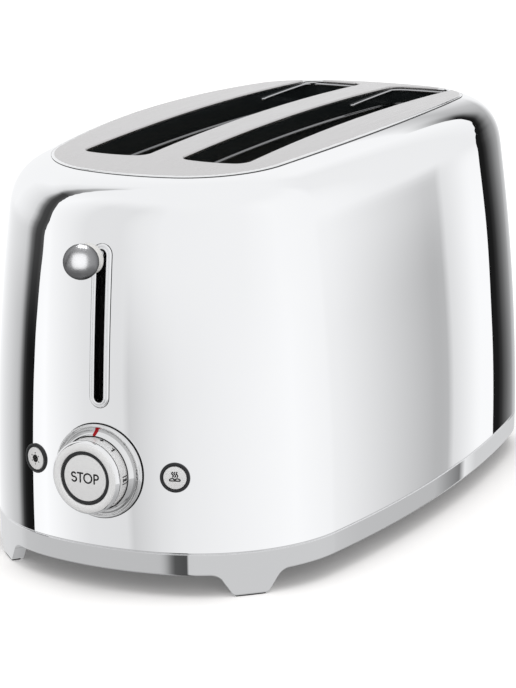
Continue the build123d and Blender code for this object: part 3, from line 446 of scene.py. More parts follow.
CORNER_X, CORNER_Y = corner_centre()
SIDE_TURN = asin(CORNER_Y / (SIDE_RADIUS - CORNER_RADIUS))
END_TURN = asin(CORNER_X / (END_RADIUS - CORNER_RADIUS))


def outline_place(turn):
    """Point on the body's outline whose outward normal has this turn from +X, and the normal."""
    nx, ny = cos(turn), sin(turn)
    across, along = (1 if nx >= 0 else -1), (1 if ny >= 0 else -1)
    lean = atan2(abs(ny), abs(nx))
    if lean < SIDE_TURN:
        x, y, radius = (HALF_WIDTH - SIDE_RADIUS) * across, 0.0, SIDE_RADIUS
    elif lean < pi / 2 - END_TURN:
        x, y, radius = CORNER_X * across, CORNER_Y * along, CORNER_RADIUS
    else:
        x, y, radius = 0.0, (HALF_LENGTH - END_RADIUS) * along, END_RADIUS
    return x + radius * nx, y + radius * ny, nx, ny


def outline_turns(side_steps, corner_steps, end_steps):
    """Turns of the stations round the outline, closer together where it bends more."""
    quarter = [SIDE_TURN * k / side_steps for k in range(side_steps)]
    bend = pi / 2 - END_TURN - SIDE_TURN
    quarter += [SIDE_TURN + bend * k / corner_steps for k in range(corner_steps)]
    quarter += [pi / 2 - END_TURN + END_TURN * k / end_steps for k in range(end_steps)]
    back = [pi - t for t in reversed(quarter[1:])]
    near = [2 * pi - t for t in reversed(quarter[1:])]
    return quarter + [pi / 2] + back + [pi + t for t in quarter] + [3 * pi / 2] + near


def ring_faces(stations, rows):
    """Faces of a closed ring that has a closed section of so many rows at each station."""
    faces = []
    for i in range(stations):
        j = (i + 1) % stations
        for k in range(rows):
            m = (k + 1) % rows
            faces.append((i * rows + k, i * rows + m, j * rows + m, j * rows + k))
    return faces


def loft(turns, profile):
    """Points and faces of a ring: a closed profile of (inset, height) at each turn."""
    points = []
    for turn in turns:
        x, y, nx, ny = outline_place(turn)
        for inset, height in profile(turn, y, ny):
            points.append((x - inset * nx, y - inset * ny + MIDDLE_Y, height))
    return points, ring_faces(len(turns), len(points) // len(turns))


def arch_height(crown, y):
    """Height of the lengthwise arch at a place along the toaster."""
    return crown - (ARCH_RADIUS - sqrt(ARCH_RADIUS**2 - y**2))


def wall_inset(height):
    """How far the wall has leant in at a height."""
    return WALL_RADIUS - sqrt(WALL_RADIUS**2 - (height - BAND_TOP)**2)


def eased(line):
    """The same line with the sudden changes of its curve spread out, and set at even steps."""
    line = np.array(line)
    along = np.concatenate(([0.0], np.cumsum(np.hypot(*np.diff(line, axis=0).T))))
    even = np.linspace(0.0, along[-1], SECTION_STEPS * FINER + 1)
    fine = np.column_stack([np.interp(even, along, line[:, k]) for k in (0, 1)])
    step = even[1]
    reach = int(EASE * 3 / step)
    weight = np.exp(-0.5 * (np.arange(-reach, reach + 1) * step / EASE)**2)
    weight /= weight.sum()

    def soften(rows):
        """Rows averaged over their neighbours, running straight on past both ends."""
        head = 2 * rows[0] - rows[reach:0:-1]
        tail = 2 * rows[-1] - rows[-2:-reach - 2:-1]
        whole = np.vstack((head, rows, tail))
        return np.column_stack([np.convolve(whole[:, k], weight, "valid") for k in (0, 1)])

    once = soften(fine)
    smooth = 2 * once - soften(once)
    return [tuple(row) for row in smooth[::FINER]]


def shell_side(y, ny, sheet, edge):
    """Wall, shoulder and top of the sheet's outside, or of its inside one sheet further in."""
    radius, crown = SHOULDER_RADIUS - sheet, SHELL_CROWN - sheet
    height = crown - radius
    for _ in range(SETTLING_ROUNDS):
        inset = WALL_RADIUS - sqrt((WALL_RADIUS - SHOULDER_RADIUS)**2 - (height - BAND_TOP)**2)
        there = y - inset * ny
        rise = atan(there * ny / sqrt(ARCH_RADIUS**2 - there**2))
        height = arch_height(crown, there) - radius / cos(rise)
    lean = asin((height - BAND_TOP) / (WALL_RADIUS - SHOULDER_RADIUS))
    foot = height + radius * sin(lean)
    line = []
    for k in range(WALL_ROWS):
        z = BAND_TOP + (foot - BAND_TOP) * k / WALL_ROWS
        line.append((sheet + wall_inset(z), z))
    for k in range(SHOULDER_ROWS + 1):
        turn = lean + (pi / 2 + rise - lean) * k / SHOULDER_ROWS
        line.append((inset - radius * cos(turn), height + radius * sin(turn)))
    start = line[-1][0]
    for k in range(1, TOP_ROWS + 1):
        further = start + (edge - start) * k / TOP_ROWS
        line.append((further, arch_height(crown, y - further * ny)))
    return eased(line)


def shell_profile(_, y, ny):
    """Closed section through the shell: outside, rim, ledge under the plate and inside."""
    lip, ledge, inner = SHELL_LIP, PLATE_UNDERSIDE - SHELL_SHEET, SHELL_EDGE - SHELL_SHEET

    def level(crown, inset):
        """A place on the arch under a crown."""
        return inset, arch_height(crown, y - inset * ny)

    rows = shell_side(y, ny, 0.0, SHELL_EDGE - lip)
    rows[0] = (lip, BAND_TOP)
    rows[1:1] = [
        (lip * 0.3, BAND_TOP + lip * 0.3), (0.0, BAND_TOP + lip), (0.0, BAND_TOP + 3 * lip),
    ]
    rows += [
        (SHELL_EDGE, level(SHELL_CROWN, SHELL_EDGE)[1] - lip), level(PLATE_UNDERSIDE, SHELL_EDGE),
        level(PLATE_UNDERSIDE, LEDGE_EDGE), level(ledge, LEDGE_EDGE), level(ledge, inner),
    ]
    return rows + shell_side(y, ny, SHELL_SHEET, inner)[::-INSIDE_STEP]


def outward(mesh):
    """Turns every face of a closed mesh outwards."""
    form = bmesh.new()
    form.from_mesh(mesh)
    bmesh.ops.recalc_face_normals(form, faces=form.faces)
    form.to_mesh(mesh)
    form.free()


def closed_piece(name, points, faces, material=None, crease=None):
    """A closed piece, its edges sharp where they turn by more than the crease in degrees."""
    piece = mesh_piece(name, points, faces, material)
    outward(piece.data)
    if crease:
        piece.data.set_sharp_from_angle(angle=radians(crease))
    return piece


def cut(piece, cutters, crease):
    """Takes the cutters' solids out of a piece and removes them."""
    for cutter in cutters:
        tool = piece.modifiers.new("cut", "BOOLEAN")
        tool.operation = "DIFFERENCE"
        tool.solver = "EXACT"
        tool.object = cutter
    graph = bpy.context.evaluated_depsgraph_get()
    made = bpy.data.meshes.new_from_object(piece.evaluated_get(graph))
    piece.modifiers.clear()
    old = piece.data
    piece.data = made
    bpy.data.meshes.remove(old)
    for cutter in cutters:
        bpy.data.objects.remove(cutter)
    made.shade_smooth()
    made.set_sharp_from_angle(angle=radians(crease))


def round_cutter(name, place, direction, radius, reach, growth=0.0, steps=64):
    """Round or, with growth, upright obround bar along a direction, for cutting."""
    out = Vector(direction).normalized()
    across = out.cross(Vector((0, 0, 1))).normalized()
    up = across.cross(out)
    rim = []
    for k in range(steps):
        turn = 2 * pi * k / steps
        lift = growth if sin(turn) >= 0 else 0.0
        rim.append(across * radius * cos(turn) + up * (radius * sin(turn) + lift))
    points = [Vector(place) + p + out * s for s in (-reach, reach) for p in rim]
    faces = [(k, (k + 1) % steps, steps + (k + 1) % steps, steps + k) for k in range(steps)]
    faces += [tuple(reversed(range(steps))), tuple(range(steps, 2 * steps))]
    return closed_piece(name, points, faces)


LEVER_SLOT_RADIUS, LEVER_SLOT_LOW, LEVER_SLOT_HIGH = 0.0026, 0.0984, 0.1679
LEVER_CLEARANCE, DIAL_HOLE, BUTTON_HOLE = 0.0013, 0.0095, 0.0071
CONTROL_HEIGHT = 0.0615
BUTTON_X = 0.0394


def button_place(side):
    """Where a side button sits on the wall, and the wall's level normal there."""
    lean = asin((BUTTON_X - CORNER_X) / CORNER_RADIUS)
    reach = CORNER_RADIUS - wall_inset(CONTROL_HEIGHT)
    x, y = side * (CORNER_X + reach * sin(lean)), -CORNER_Y - reach * cos(lean)
    return Vector((x, y + MIDDLE_Y, CONTROL_HEIGHT)), Vector((side * sin(lean), -cos(lean), 0))


def mirror_chrome(name, tint, haze, smudge):
    """Polished chrome: a mirror with a breath of haze that comes and goes over the surface."""
    material, tree, shader = new_material(name, {"Metallic": 1.0})
    place = wired(tree, "ShaderNodeTexCoord", {})
    cloud = wired(tree, "ShaderNodeTexNoise", {
        "Vector": place.outputs["Object"], "Scale": 9.0, "Detail": 4.0,
    }).outputs["Fac"]
    polish = wired(tree, "ShaderNodeMapRange", {
        "Value": cloud, "From Min": 0.35, "From Max": 0.75,
        "To Min": haze, "To Max": haze + smudge,
    })
    shade = wired(tree, "ShaderNodeMix", {
        "Factor": cloud, "A": (*tint, 1), "B": (*(c * 0.97 for c in tint), 1),
    }, data_type="RGBA")
    fill(shader, {"Base Color": shade.outputs["Result"], "Roughness": polish.outputs[0]})
    return material


def body_shell():
    """Smooth shell with its holes cut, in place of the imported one."""
    chrome = mirror_chrome("shell_chrome", (0.955, 0.955, 0.96), 0.004, 0.01)
    points, faces = loft(outline_turns(*SHELL_STATIONS), shell_profile)
    shell = closed_piece("body_shell", points, faces, chrome)
    cutters = [
        round_cutter(
            "lever_hole", (0, FRONT_Y, LEVER_SLOT_LOW), (0, -1, 0),
            LEVER_SLOT_RADIUS + LEVER_CLEARANCE, 0.02, LEVER_SLOT_HIGH - LEVER_SLOT_LOW),
        round_cutter("dial_hole", (0, FRONT_Y, CONTROL_HEIGHT), (0, -1, 0), DIAL_HOLE, 0.02),
    ]
    for side in (-1, 1):
        place, out = button_place(side)
        cutters.append(round_cutter(f"button_hole_{side}", place, out, BUTTON_HOLE, 0.006))
    cut(shell, cutters, 32)
    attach(shell, "chassis")
    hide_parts("outer_shell")


body_shell()

# The top plate: pressed steel, brushed along its length, with its rolled lip polished bright.
# It lies on the shell's ledge; a thin black strip at the shell's edge, below its lip, is a painted
# shadow line.
ALONG_PLATE = (40, 1, 40)
LIP_X, LIP_Y, LIP_CORNER = 0.0655, 0.1465, 0.0455
LIP_SLOPE, LIP_LOW = 0.985, 0.19
SHADOW_LINE_ROWS = ((0.03184, 0.0012), (0.03184, -0.00002), (0.0330, 0.00012), (0.0330, 0.0016))
plate_steel = worked_metal(
    "plate_steel", (0.575, 0.562, 0.56), (0.59, 0.575, 0.572), ALONG_PLATE, 0.24, 30, 0.003)
trim_chrome = mirror_chrome("trim_chrome", (0.90, 0.90, 0.905), 0.02, 0.03)
dress(plate_steel, "top_plate")
plate = nodes["top_plate"].data
plate.materials.append(trim_chrome)
for polygon in plate.polygons:
    x, y, z = polygon.center
    corner = hypot(max(0.0, abs(x) - CORNER_X), max(0.0, abs(y - MIDDLE_Y) - CORNER_Y))
    on_lip = abs(x) > LIP_X or abs(y - MIDDLE_Y) > LIP_Y or corner > LIP_CORNER
    if on_lip and polygon.normal.z < LIP_SLOPE and z > LIP_LOW:
        polygon.material_index = 1


def shadow_line_profile(_, y, ny):
    """Thin black strip at the shell's edge under the plate's lip: a painted shadow line."""
    return [(inset, arch_height(SHELL_CROWN, y - inset * ny) - drop) for inset, drop in SHADOW_LINE_ROWS]


# The strip takes the black plastic finish, which here is painted shadow.
points, faces = loft(outline_turns(*SHELL_STATIONS), shadow_line_profile)
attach(closed_piece("plate_shadow_line", points, faces, black_plastic), "chassis")

# The slot liners: dark sheet turned down round each slot to a rolled bead, with a bright guard
# wire bent round the far end to keep the bread off it.
SLOT_MIDDLE, SLOT_HALF = 0.0278, 0.018
SLOT_FRONT, SLOT_BACK, SLOT_BOW, SLOT_CORNER = -0.119425, 0.154075, 0.0024 * 0.35, 0.0075
SLOT_CORNER_STEPS, SLOT_END_STEPS, SLOT_SIDE_STEPS = 10, 6, 24
LINER_TOP, LINER_DROP, LINER_SHEET, LINER_TUCK = 0.0012, 0.0150, 0.0009, 0.0007
BEAD_RADIUS, BEAD_OUT, BEAD_FLAT, BEAD_REACH, BEAD_ROWS = 0.0005, 0.00035, 0.9, 0.0009, 8
WIRE_RADIUS, WIRE_SIDES, WIRE_BEND, WIRE_DROP = 0.0007, 10, 0.007, 0.0019
liner_steel = worked_metal(
    "dark_steel", (0.030, 0.036, 0.038), (0.045, 0.052, 0.054), EVEN, 0.18, 60, 0.01, 0.6)
bead_steel = mirror_chrome("bead_steel", (0.20, 0.20, 0.205), 0.15, 0.05)
guard_steel = mirror_chrome("guard_steel", (0.50, 0.50, 0.51), 0.08, 0.05)


def slot_outline():
    """Places round a slot's edge with the outward direction at each, from its middle."""
    reach, places = SLOT_CORNER, []
    half, length = SLOT_HALF - reach, SLOT_BACK - SLOT_FRONT - 2 * (SLOT_BOW + reach)
    corners = ((1, 1, SLOT_BACK), (-1, 1, SLOT_BACK), (-1, -1, SLOT_FRONT), (1, -1, SLOT_FRONT))
    for quarter, (across, along, end) in enumerate(corners):
        cx, cy = across * half, end - along * (SLOT_BOW + reach)
        for k in range(SLOT_CORNER_STEPS + 1):
            turn = radians(90 * quarter + 90 * k / SLOT_CORNER_STEPS)
            places.append((cx + reach * cos(turn), cy + reach * sin(turn), cos(turn), sin(turn)))
        if across == along:
            for k in range(1, SLOT_END_STEPS):
                share = k / SLOT_END_STEPS
                bow = SLOT_BOW * (1 - (2 * share - 1)**2)
                x = cx - 2 * across * half * share
                places.append((x, cy + along * (reach + bow), 0.0, float(along)))
        else:
            for k in range(1, SLOT_SIDE_STEPS):
                y = cy - along * length * k / SLOT_SIDE_STEPS
                places.append((across * SLOT_HALF, y, float(across), 0.0))
    return places


def slot_liner(side, name, node, turn_down):
    """Liner of one slot as a closed ring: wall, bead, tucked lower wall and the way back up."""
    back = LINER_SHEET + LINER_TUCK
    rows = [(0.0, 0.0002), (0.0, turn_down - BEAD_REACH)]
    for turn in (radians(t) for t in range(90, 271, 30)):
        out = BEAD_RADIUS * cos(turn) * BEAD_FLAT - BEAD_OUT
        rows.append((out, turn_down - BEAD_RADIUS * sin(turn)))
    rows += [(LINER_TUCK, turn_down + BEAD_REACH), (LINER_TUCK, LINER_DROP)]
    rows += [(back, LINER_DROP), (back, LINER_TOP), (LINER_SHEET, 0.0002)]
    points, outline = [], slot_outline()
    for x, y, nx, ny in outline:
        top = arch_height(SHELL_CROWN, y - MIDDLE_Y) - LINER_TOP
        for out, drop in rows:
            points.append((side * SLOT_MIDDLE + x + nx * out, y + ny * out, top - drop))
    liner = closed_piece(name, points, ring_faces(len(outline), len(rows)), liner_steel, 40)
    liner.data.materials.append(bead_steel)
    for k, polygon in enumerate(liner.data.polygons):
        if 1 <= k % len(rows) <= BEAD_ROWS:
            polygon.material_index = 1
    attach(liner, "chassis")
    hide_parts(node)


def wire_tree():
    """Geometry Nodes that turn a chain of edges into a round wire with closed ends."""
    tree = bpy.data.node_groups.new("round_wire", "GeometryNodeTree")
    for name, kind in (
        ("Path", "Geometry"), ("Wire radius", "Float"), ("Sides", "Int"), ("Finish", "Material"),
    ):
        tree.interface.new_socket(name, in_out="INPUT", socket_type=f"NodeSocket{kind}")
    tree.interface.new_socket("Wire", in_out="OUTPUT", socket_type="NodeSocketGeometry")
    given = wired(tree, "NodeGroupInput", {}).outputs
    line = wired(tree, "GeometryNodeMeshToCurve", {"Mesh": given["Path"]})
    ring = wired(tree, "GeometryNodeCurvePrimitiveCircle", {
        "Resolution": given["Sides"], "Radius": given["Wire radius"],
    })
    sweep = wired(tree, "GeometryNodeCurveToMesh", {
        "Curve": line.outputs[0], "Profile Curve": ring.outputs[0], "Fill Caps": True,
    })
    smooth = wired(tree, "GeometryNodeSetShadeSmooth", {"Geometry": sweep.outputs[0]})
    real = wired(tree, "GeometryNodeRealizeInstances", {"Geometry": smooth.outputs[0]})
    finish = wired(tree, "GeometryNodeSetMaterial", {
        "Geometry": real.outputs[0], "Material": given["Finish"],
    })
    wired(tree, "NodeGroupOutput", {"Wire": finish.outputs[0]})
    return tree


def bent_wire(name, path, tree, settings):
    """Wire along a path: the tree's result as a plain mesh."""
    mesh = bpy.data.meshes.new(name)
    mesh.from_pydata(path, [(k, k + 1) for k in range(len(path) - 1)], [])
    wire = bpy.data.objects.new(name, mesh)
    bpy.context.scene.collection.objects.link(wire)
    bend = wire.modifiers.new("wire", "NODES")
    bend.node_group = tree
    for socket in tree.interface.items_tree:
        if socket.in_out == "INPUT" and socket.name in settings:
            bend[socket.identifier] = settings[socket.name]
    graph = bpy.context.evaluated_depsgraph_get()
    made = bpy.data.meshes.new_from_object(wire.evaluated_get(graph))
    wire.modifiers.clear()
    wire.data = made
    bpy.data.meshes.remove(mesh)
    outward(made)
    made.set_sharp_from_angle(angle=radians(40))
    return wire


def guard_path():
    """The guard's course as (x from the slot's middle, y, drop), from one hook to the other."""
    left, right, back = -SLOT_HALF + 0.0006, SLOT_HALF - 0.0006, SLOT_BACK - 0.0010
    bend, low, bent = WIRE_BEND, WIRE_DROP, back - WIRE_BEND
    turns = [radians(t) for t in range(0, 91, 15)]
    path = [(left - 0.0012, back - 0.060, 0.0050), (left + 0.0002, back - 0.0585, 0.0048)]
    path += [(left, back - 0.057 + 0.050 * k / 8, 0.0046 - 0.0027 * k / 8) for k in range(9)]
    path += [(left + bend - bend * cos(t), bent + bend * sin(t), low) for t in turns[1:]]
    path += [(right - bend + bend * sin(t), bent + bend * cos(t), low) for t in turns]
    path += [(right, bent - 0.0355 * k / 6, low + 0.0038 * k / 6) for k in range(1, 7)]
    return path + [(right + 0.0012, back - 0.047, 0.0060)]


round_wire = wire_tree()
for side, name, turn_down in ((-1, "left", 0.0115), (1, "right", 0.0088)):
    slot_liner(side, f"slot_liner_{name}", f"slot_collar_{name}", turn_down)
    route = [
        (side * SLOT_MIDDLE + x, y, arch_height(SHELL_CROWN, y - MIDDLE_Y) - drop)
        for x, y, drop in guard_path()
    ]
    guard = bent_wire(f"guard_wire_{name}", route, round_wire, {
        "Wire radius": WIRE_RADIUS, "Sides": WIRE_SIDES, "Finish": guard_steel,
    })
    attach(guard, "chassis")

# The base band: a drawn ring of bright plated steel under the shell, drawn in a little towards
# the ground, with a fine seam above it. Its four feet are tabs of the same sheet.
BAND_LOW, BAND_SEAM = 0.0116, 0.00035
BAND_SHEET, BAND_DRAW_IN = 0.0025, 0.00038
BAND_STATIONS = (26, 40, 12)
FOOT_BEARINGS = [radians(t) for t in (46, 134, 226, 314)]
FOOT_TIP, FOOT_ROOT, FOOT_LOW, FOOT_DEPTH = 0.0090, 0.0165, 0.0006, 0.0070
FOOT_HALF = FOOT_ROOT + 0.006
FOOT_ROUND = (0.008, 0.0028, 0.0028, 0.008)
SEAM_ROWS = [(0.0003, 0.0), (0.00008, -0.00008), (0.00001, -0.0002), (0.00002, -0.0004)]
EDGE_ROWS = [(-0.00002, 0.0008), (0.0, 0.0004), (0.00012, 0.00012), (0.0004, 0.0)]
OPENING_X, OPENING_Y, OPENING_Z = (-0.0548, 0.0548), (0.15, 0.22), (0.0134, 0.0211)
band_chrome = mirror_chrome("band_chrome", (0.93, 0.93, 0.935), 0.006, 0.01)


def rounded(points, radii, steps=6):
    """Open line through points of a plane, with its inner corners rounded."""
    line = [Vector(points[0])]
    for before, here, after, radius in zip(points, points[1:], points[2:], radii):
        here = Vector(here)
        one, other = (Vector(before) - here).normalized(), (Vector(after) - here).normalized()
        half = one.angle(other) / 2
        reach = radius / tan(half)
        centre = here + (one + other).normalized() * radius / sin(half)
        start, stop = here + one * reach - centre, here + other * reach - centre
        turn = start.angle_signed(stop)
        for k in range(steps + 1):
            spoke = start.copy()
            spoke.rotate(Matrix.Rotation(-turn * k / steps, 2))
            line.append(centre + spoke)
    line.append(Vector(points[-1]))
    return line


def band_lows():
    """Height of the band's lower edge at each of its turns, down round the four feet."""
    foot_line = rounded([
        (-FOOT_HALF, BAND_LOW), (-FOOT_ROOT, BAND_LOW), (-FOOT_TIP, FOOT_LOW),
        (FOOT_TIP, FOOT_LOW), (FOOT_ROOT, BAND_LOW), (FOOT_HALF, BAND_LOW),
    ], FOOT_ROUND, 8)
    lows = {}
    for foot in FOOT_BEARINGS:
        for along, height in foot_line:
            lows[(foot + along / CORNER_RADIUS) % (2 * pi)] = height
    clear = FOOT_HALF / CORNER_RADIUS + 0.002
    for turn in outline_turns(*BAND_STATIONS):
        if all(abs(turn - foot) > clear for foot in FOOT_BEARINGS):
            lows[turn] = BAND_LOW
    return lows


def base_band():
    """Band and feet in one ring, with the opening for the crumb tray at the back."""
    lows = band_lows()

    def band_profile(turn, y, ny):
        """Closed section: seam, outside, rounded lower edge and the sheet's inside."""
        low, seam = lows[turn], BAND_TOP - BAND_SEAM
        deep = BAND_SHEET + (FOOT_DEPTH - BAND_SHEET) * min(1.0, (BAND_LOW - low) / 0.002)
        lean = BAND_DRAW_IN * (BAND_TOP - low) / (BAND_TOP - BAND_LOW)
        rows = [(0.0005, BAND_TOP), (0.0005, BAND_TOP - BAND_SEAM * 0.8)]
        rows += [(inset, seam + up) for inset, up in SEAM_ROWS]
        rows += [(lean + inset, low + up) for inset, up in EDGE_ROWS]
        return rows + [
            (deep, low), (deep, BAND_LOW), (BAND_SHEET, BAND_LOW + 0.0001), (BAND_SHEET, BAND_TOP),
        ]

    points, faces = loft(sorted(lows), band_profile)
    band = closed_piece("base_ring", points, faces, band_chrome)
    corners = [(x, y, z) for z in OPENING_Z for y in OPENING_Y for x in OPENING_X]
    sides = [(0, 1, 3, 2), (4, 5, 7, 6), (0, 1, 5, 4), (1, 3, 7, 5), (3, 2, 6, 7), (2, 0, 4, 6)]
    cut(band, [closed_piece("tray_opening", corners, sides)], 30)
    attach(band, "chassis")
    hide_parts("base_band")


base_band()

# The crumb tray: a shallow folded tray of bright steel that slides in on its rails at the back,
# with a grip plated like the band.
tray_steel = worked_metal("tray_steel", grey(0.52), grey(0.62), (1, 12, 1), 0.3, 60, 0.05)
dress(tray_steel, "crumb_tray")
dress(band_chrome, "crumb_tray_grip")

# The lever's rim: a pressed ring of bright trim round the slot, bent to the wall, over the
# black moulded channel. A thin black ring at its foot, where it sits on the shell, is a painted
# shadow line.
# Rows of (distance from the slot's middle line, height off the wall).
RIM_ROUND = (0.0007, 0.0002, 0.00008, 0.00008, 0.0003, 0.0006)
RIM_TOP = [
    (0.0053, -0.0006), (0.0053, 0.0009), (0.0041, 0.0009), (0.0040, 0.00055), (0.0038, 0.00055),
    (0.0037, 0.0012), (0.0026, 0.0012), (0.0026, -0.004),
]
RIM_BACK = [(0.0036, -0.004), (0.0036, -0.0006)]
RIM_SHADOW_LINE = [(0.0052, -0.0002), (0.0052, 0.00006), (0.00558, 0.00004), (0.00558, -0.0002)]
RIM_END_STEPS, RIM_SIDE_STEPS = 24, 12
# Near-black for the thin rings at the feet of the trims and between the dial's parts: painted
# shadow lines.
painted_shadow_black = new_material("shadow_line", {
    "Base Color": (0.012, 0.012, 0.012, 1), "Roughness": 0.7, "Specular IOR Level": 0.2,
})[0]


def wall_front(x, z):
    """How far back the front wall lies at a place beside the middle."""
    return FRONT_Y + wall_inset(z) + END_RADIUS - sqrt(END_RADIUS**2 - x**2)


def slot_ring(name, rows, material):
    """Ring round the lever's slot: rows of (distance from its middle line, height off the wall)."""
    path = []
    for start, stop, turned_by in (
        (LEVER_SLOT_HIGH, LEVER_SLOT_LOW, 0.0), (LEVER_SLOT_LOW, LEVER_SLOT_HIGH, pi),
    ):
        for k in range(RIM_END_STEPS + 1):
            turn = turned_by + pi * k / RIM_END_STEPS
            path.append((cos(turn), sin(turn), start))
        for k in range(1, RIM_SIDE_STEPS):
            path.append((-cos(turned_by), 0.0, start + (stop - start) * k / RIM_SIDE_STEPS))
    points = []
    for across, up, height in path:
        for reach, proud in rows:
            x, z = across * reach, height + up * reach
            points.append((x, wall_front(x, z) - proud, z))
    ring = closed_piece(name, points, ring_faces(len(path), len(rows)), material, 35)
    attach(ring, "chassis")
    return ring


rim = slot_ring("lever_rim", rounded(RIM_TOP, RIM_ROUND, 5) + RIM_BACK, trim_chrome)
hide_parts("lever_bezel")
slot_ring("lever_rim_shadow_line", RIM_SHADOW_LINE, painted_shadow_black)
dress(black_plastic, "lever_shroud")

# The lever: a plated ball with a satin shine and a short pale collar, pressed on the steel bar
# that comes through the slot. It has lights of its own and stays out of the shell's reflection.
BALL_PLACE, BALL_RADIUS, BALL_ROWS, BALL_STEPS = (0, -0.188425, 0.1684), 0.00865, 39, 48
COLLAR_ROWS = [(0.0, -0.0050), (0.0074, -0.0050), (0.0078, -0.0086), (0.0, -0.0086)]
COLLAR_ROUND = (0.0008, 0.0007)
BALL_LIGHTS = (
    ("ball_front_light", (0.21, -0.74, 0.34), 1.5, 19.0),
    ("ball_top_light_left", (-0.42, 0.50, 1.10), 0.14, 9.0),
    ("ball_top_light_right", (-0.16, 0.62, 1.10), 0.14, 9.0),
)
ball_chrome = new_material("ball_chrome", {
    "Base Color": (0.27, 0.27, 0.275, 1), "Metallic": 1.0, "Specular Tint": (0.05, 0.05, 0.05, 1),
    "Roughness": 0.34, "Coat Weight": 0.3, "Coat Roughness": 0.08,
})[0]
collar_satin = worked_metal(
    "collar_satin", (0.80, 0.79, 0.77), (0.84, 0.83, 0.81), EVEN, 0.4, 300, 0.01, 0.4)


def turned(name, rows, place, out, material, steps=96, crease=32):
    """Turned piece: rows of (radius, height) round an axis, closed on itself or at its poles."""
    out = Vector(out).normalized()
    across = out.cross(Vector((0, 0, 1))).normalized()
    up = across.cross(out)
    points, rings = [], []
    for radius, height in rows:
        middle = Vector(place) + out * height
        if radius < 1e-6:
            rings.append([len(points)])
            points.append(middle)
            continue
        rings.append(list(range(len(points), len(points) + steps)))
        for k in range(steps):
            turn = 2 * pi * k / steps
            points.append(middle + (across * cos(turn) + up * sin(turn)) * radius)
    pairs = list(zip(rings, rings[1:]))
    if len(rings[0]) > 1:
        pairs.append((rings[-1], rings[0]))
    faces = []
    for one, other in pairs:
        for k in range(steps):
            m = (k + 1) % steps
            if len(one) == 1:
                faces.append((one[0], other[k], other[m]))
            elif len(other) == 1:
                faces.append((one[k], other[0], one[m]))
            else:
                faces.append((one[k], other[k], other[m], one[m]))
    return closed_piece(name, points, faces, material, crease)


ball_rows = [
    (BALL_RADIUS * sin(pi * k / BALL_STEPS), BALL_RADIUS * cos(pi * k / BALL_STEPS))
    for k in range(BALL_ROWS)
]
ball_rows.append((0.0, ball_rows[-1][1]))
ball = turned("lever_ball", ball_rows, BALL_PLACE, (0, -1, 0), ball_chrome)
ball.visible_glossy = False
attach(ball, "lever_carriage")
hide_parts("lever_knob")
ball_only = bpy.data.collections.new("ball_only")
ball_only.objects.link(ball)
for name, place, size, power in BALL_LIGHTS:
    lamp = studio_lamp(name, place, BALL_PLACE, size, power)
    lamp.visible_glossy = True
    lamp.light_linking.receiver_collection = ball_only
collar_rows = rounded(COLLAR_ROWS, COLLAR_ROUND, 5)
collar = turned("lever_seat", collar_rows, BALL_PLACE, (0, -1, 0), collar_satin)
collar.visible_glossy = False
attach(collar, "lever_carriage")
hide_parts("lever_collar")
dress(rod_steel, "lever_arm")
nodes["lever_arm"].visible_glossy = False

# The browning dial's flange: a turned, plated ring that sweeps up from the wall in a hollow to
# a lip close behind the knob. The red mark printed on its slope is the pointer for the scale.
DIAL_PLACE = Vector((0, FRONT_Y, CONTROL_HEIGHT))
# Rows of (radius, height off the wall), as for the knob and the buttons further down.
SLOPE = [
    (0.0234, -0.0030), (0.0236, -0.0006), (0.0236, 0.0003), (0.02348, 0.0009), (0.02318, 0.00125),
    (0.02275, 0.00128), (0.0223, 0.00100), (0.0219, 0.00060), (0.0214, 0.00040), (0.0209, 0.00065),
    (0.0204, 0.00125), (0.0199, 0.0021), (0.0195, 0.00285), (0.0191, 0.0034), (0.0188, 0.00358),
    (0.01868, 0.00345), (0.01862, 0.0031), (0.01862, 0.0020), (0.0095, 0.0020), (0.0095, -0.0030),
]
HOLLOW_INNER, HOLLOW_OUTER = 0.0204, 0.0216
# Thin black rings at the flange's foot on the wall and between its lip and the knob: painted shadow
# lines.
WALL_SHADOW_LINE = [(0.0232, 0.0002), (0.0232, -0.00006), (0.0240, -0.00005), (0.0240, 0.0002)]
WALL_LINE_STEPS = 96
DIAL_SHADOW_LINE = [(0.0183, 0.0022), (0.0183, 0.0036), (0.01875, 0.0036), (0.01875, 0.0022)]
POINTER_FOOT, POINTER_STEP, POINTER_WIDTH, POINTER_PROUD = 0.0006, 0.0003, 0.0019, 0.00012
flange_chrome = mirror_chrome("flange_chrome", grey(0.80), 0.07, 0.04)
# The hollow's band is chrome tinted darker: a painted reflection of dark surroundings, not a second
# finish.
hollow_painted_reflection = mirror_chrome("hollow_painted_reflection", grey(0.52), 0.12, 0.05)


def on_dial(name, rows, body, material, steps=96, crease=32):
    """Turned piece on the dial's axis that rides on a body."""
    piece = turned(name, rows, DIAL_PLACE, (0, -1, 0), material, steps, crease)
    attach(piece, body)
    return piece


def from_axis(polygon):
    """How far a face lies from the dial's axis, and how far in front of the wall."""
    middle = polygon.center
    return hypot(middle.x, middle.z - CONTROL_HEIGHT), FRONT_Y - middle.y


flange = on_dial("dial_ring", SLOPE, "chassis", flange_chrome, 128, 60)
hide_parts("dial_flange")
# The faces in the hollow take the darker chrome: painted reflection.
flange.data.materials.append(hollow_painted_reflection)
for polygon in flange.data.polygons:
    if HOLLOW_INNER < from_axis(polygon)[0] < HOLLOW_OUTER:
        polygon.material_index = 1
# The black ring round the flange's foot on the wall: a painted shadow line.
points = []
for k in range(WALL_LINE_STEPS):
    turn = 2 * pi * k / WALL_LINE_STEPS
    for reach, depth in WALL_SHADOW_LINE:
        x, z = cos(turn) * reach, CONTROL_HEIGHT + sin(turn) * reach
        points.append((x, wall_front(x, z) + depth, z))
faces = ring_faces(WALL_LINE_STEPS, len(WALL_SHADOW_LINE))
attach(closed_piece("dial_ring_shadow_line", points, faces, painted_shadow_black), "chassis")
on_dial("dial_gap_shadow_line", DIAL_SHADOW_LINE, "chassis", painted_shadow_black)


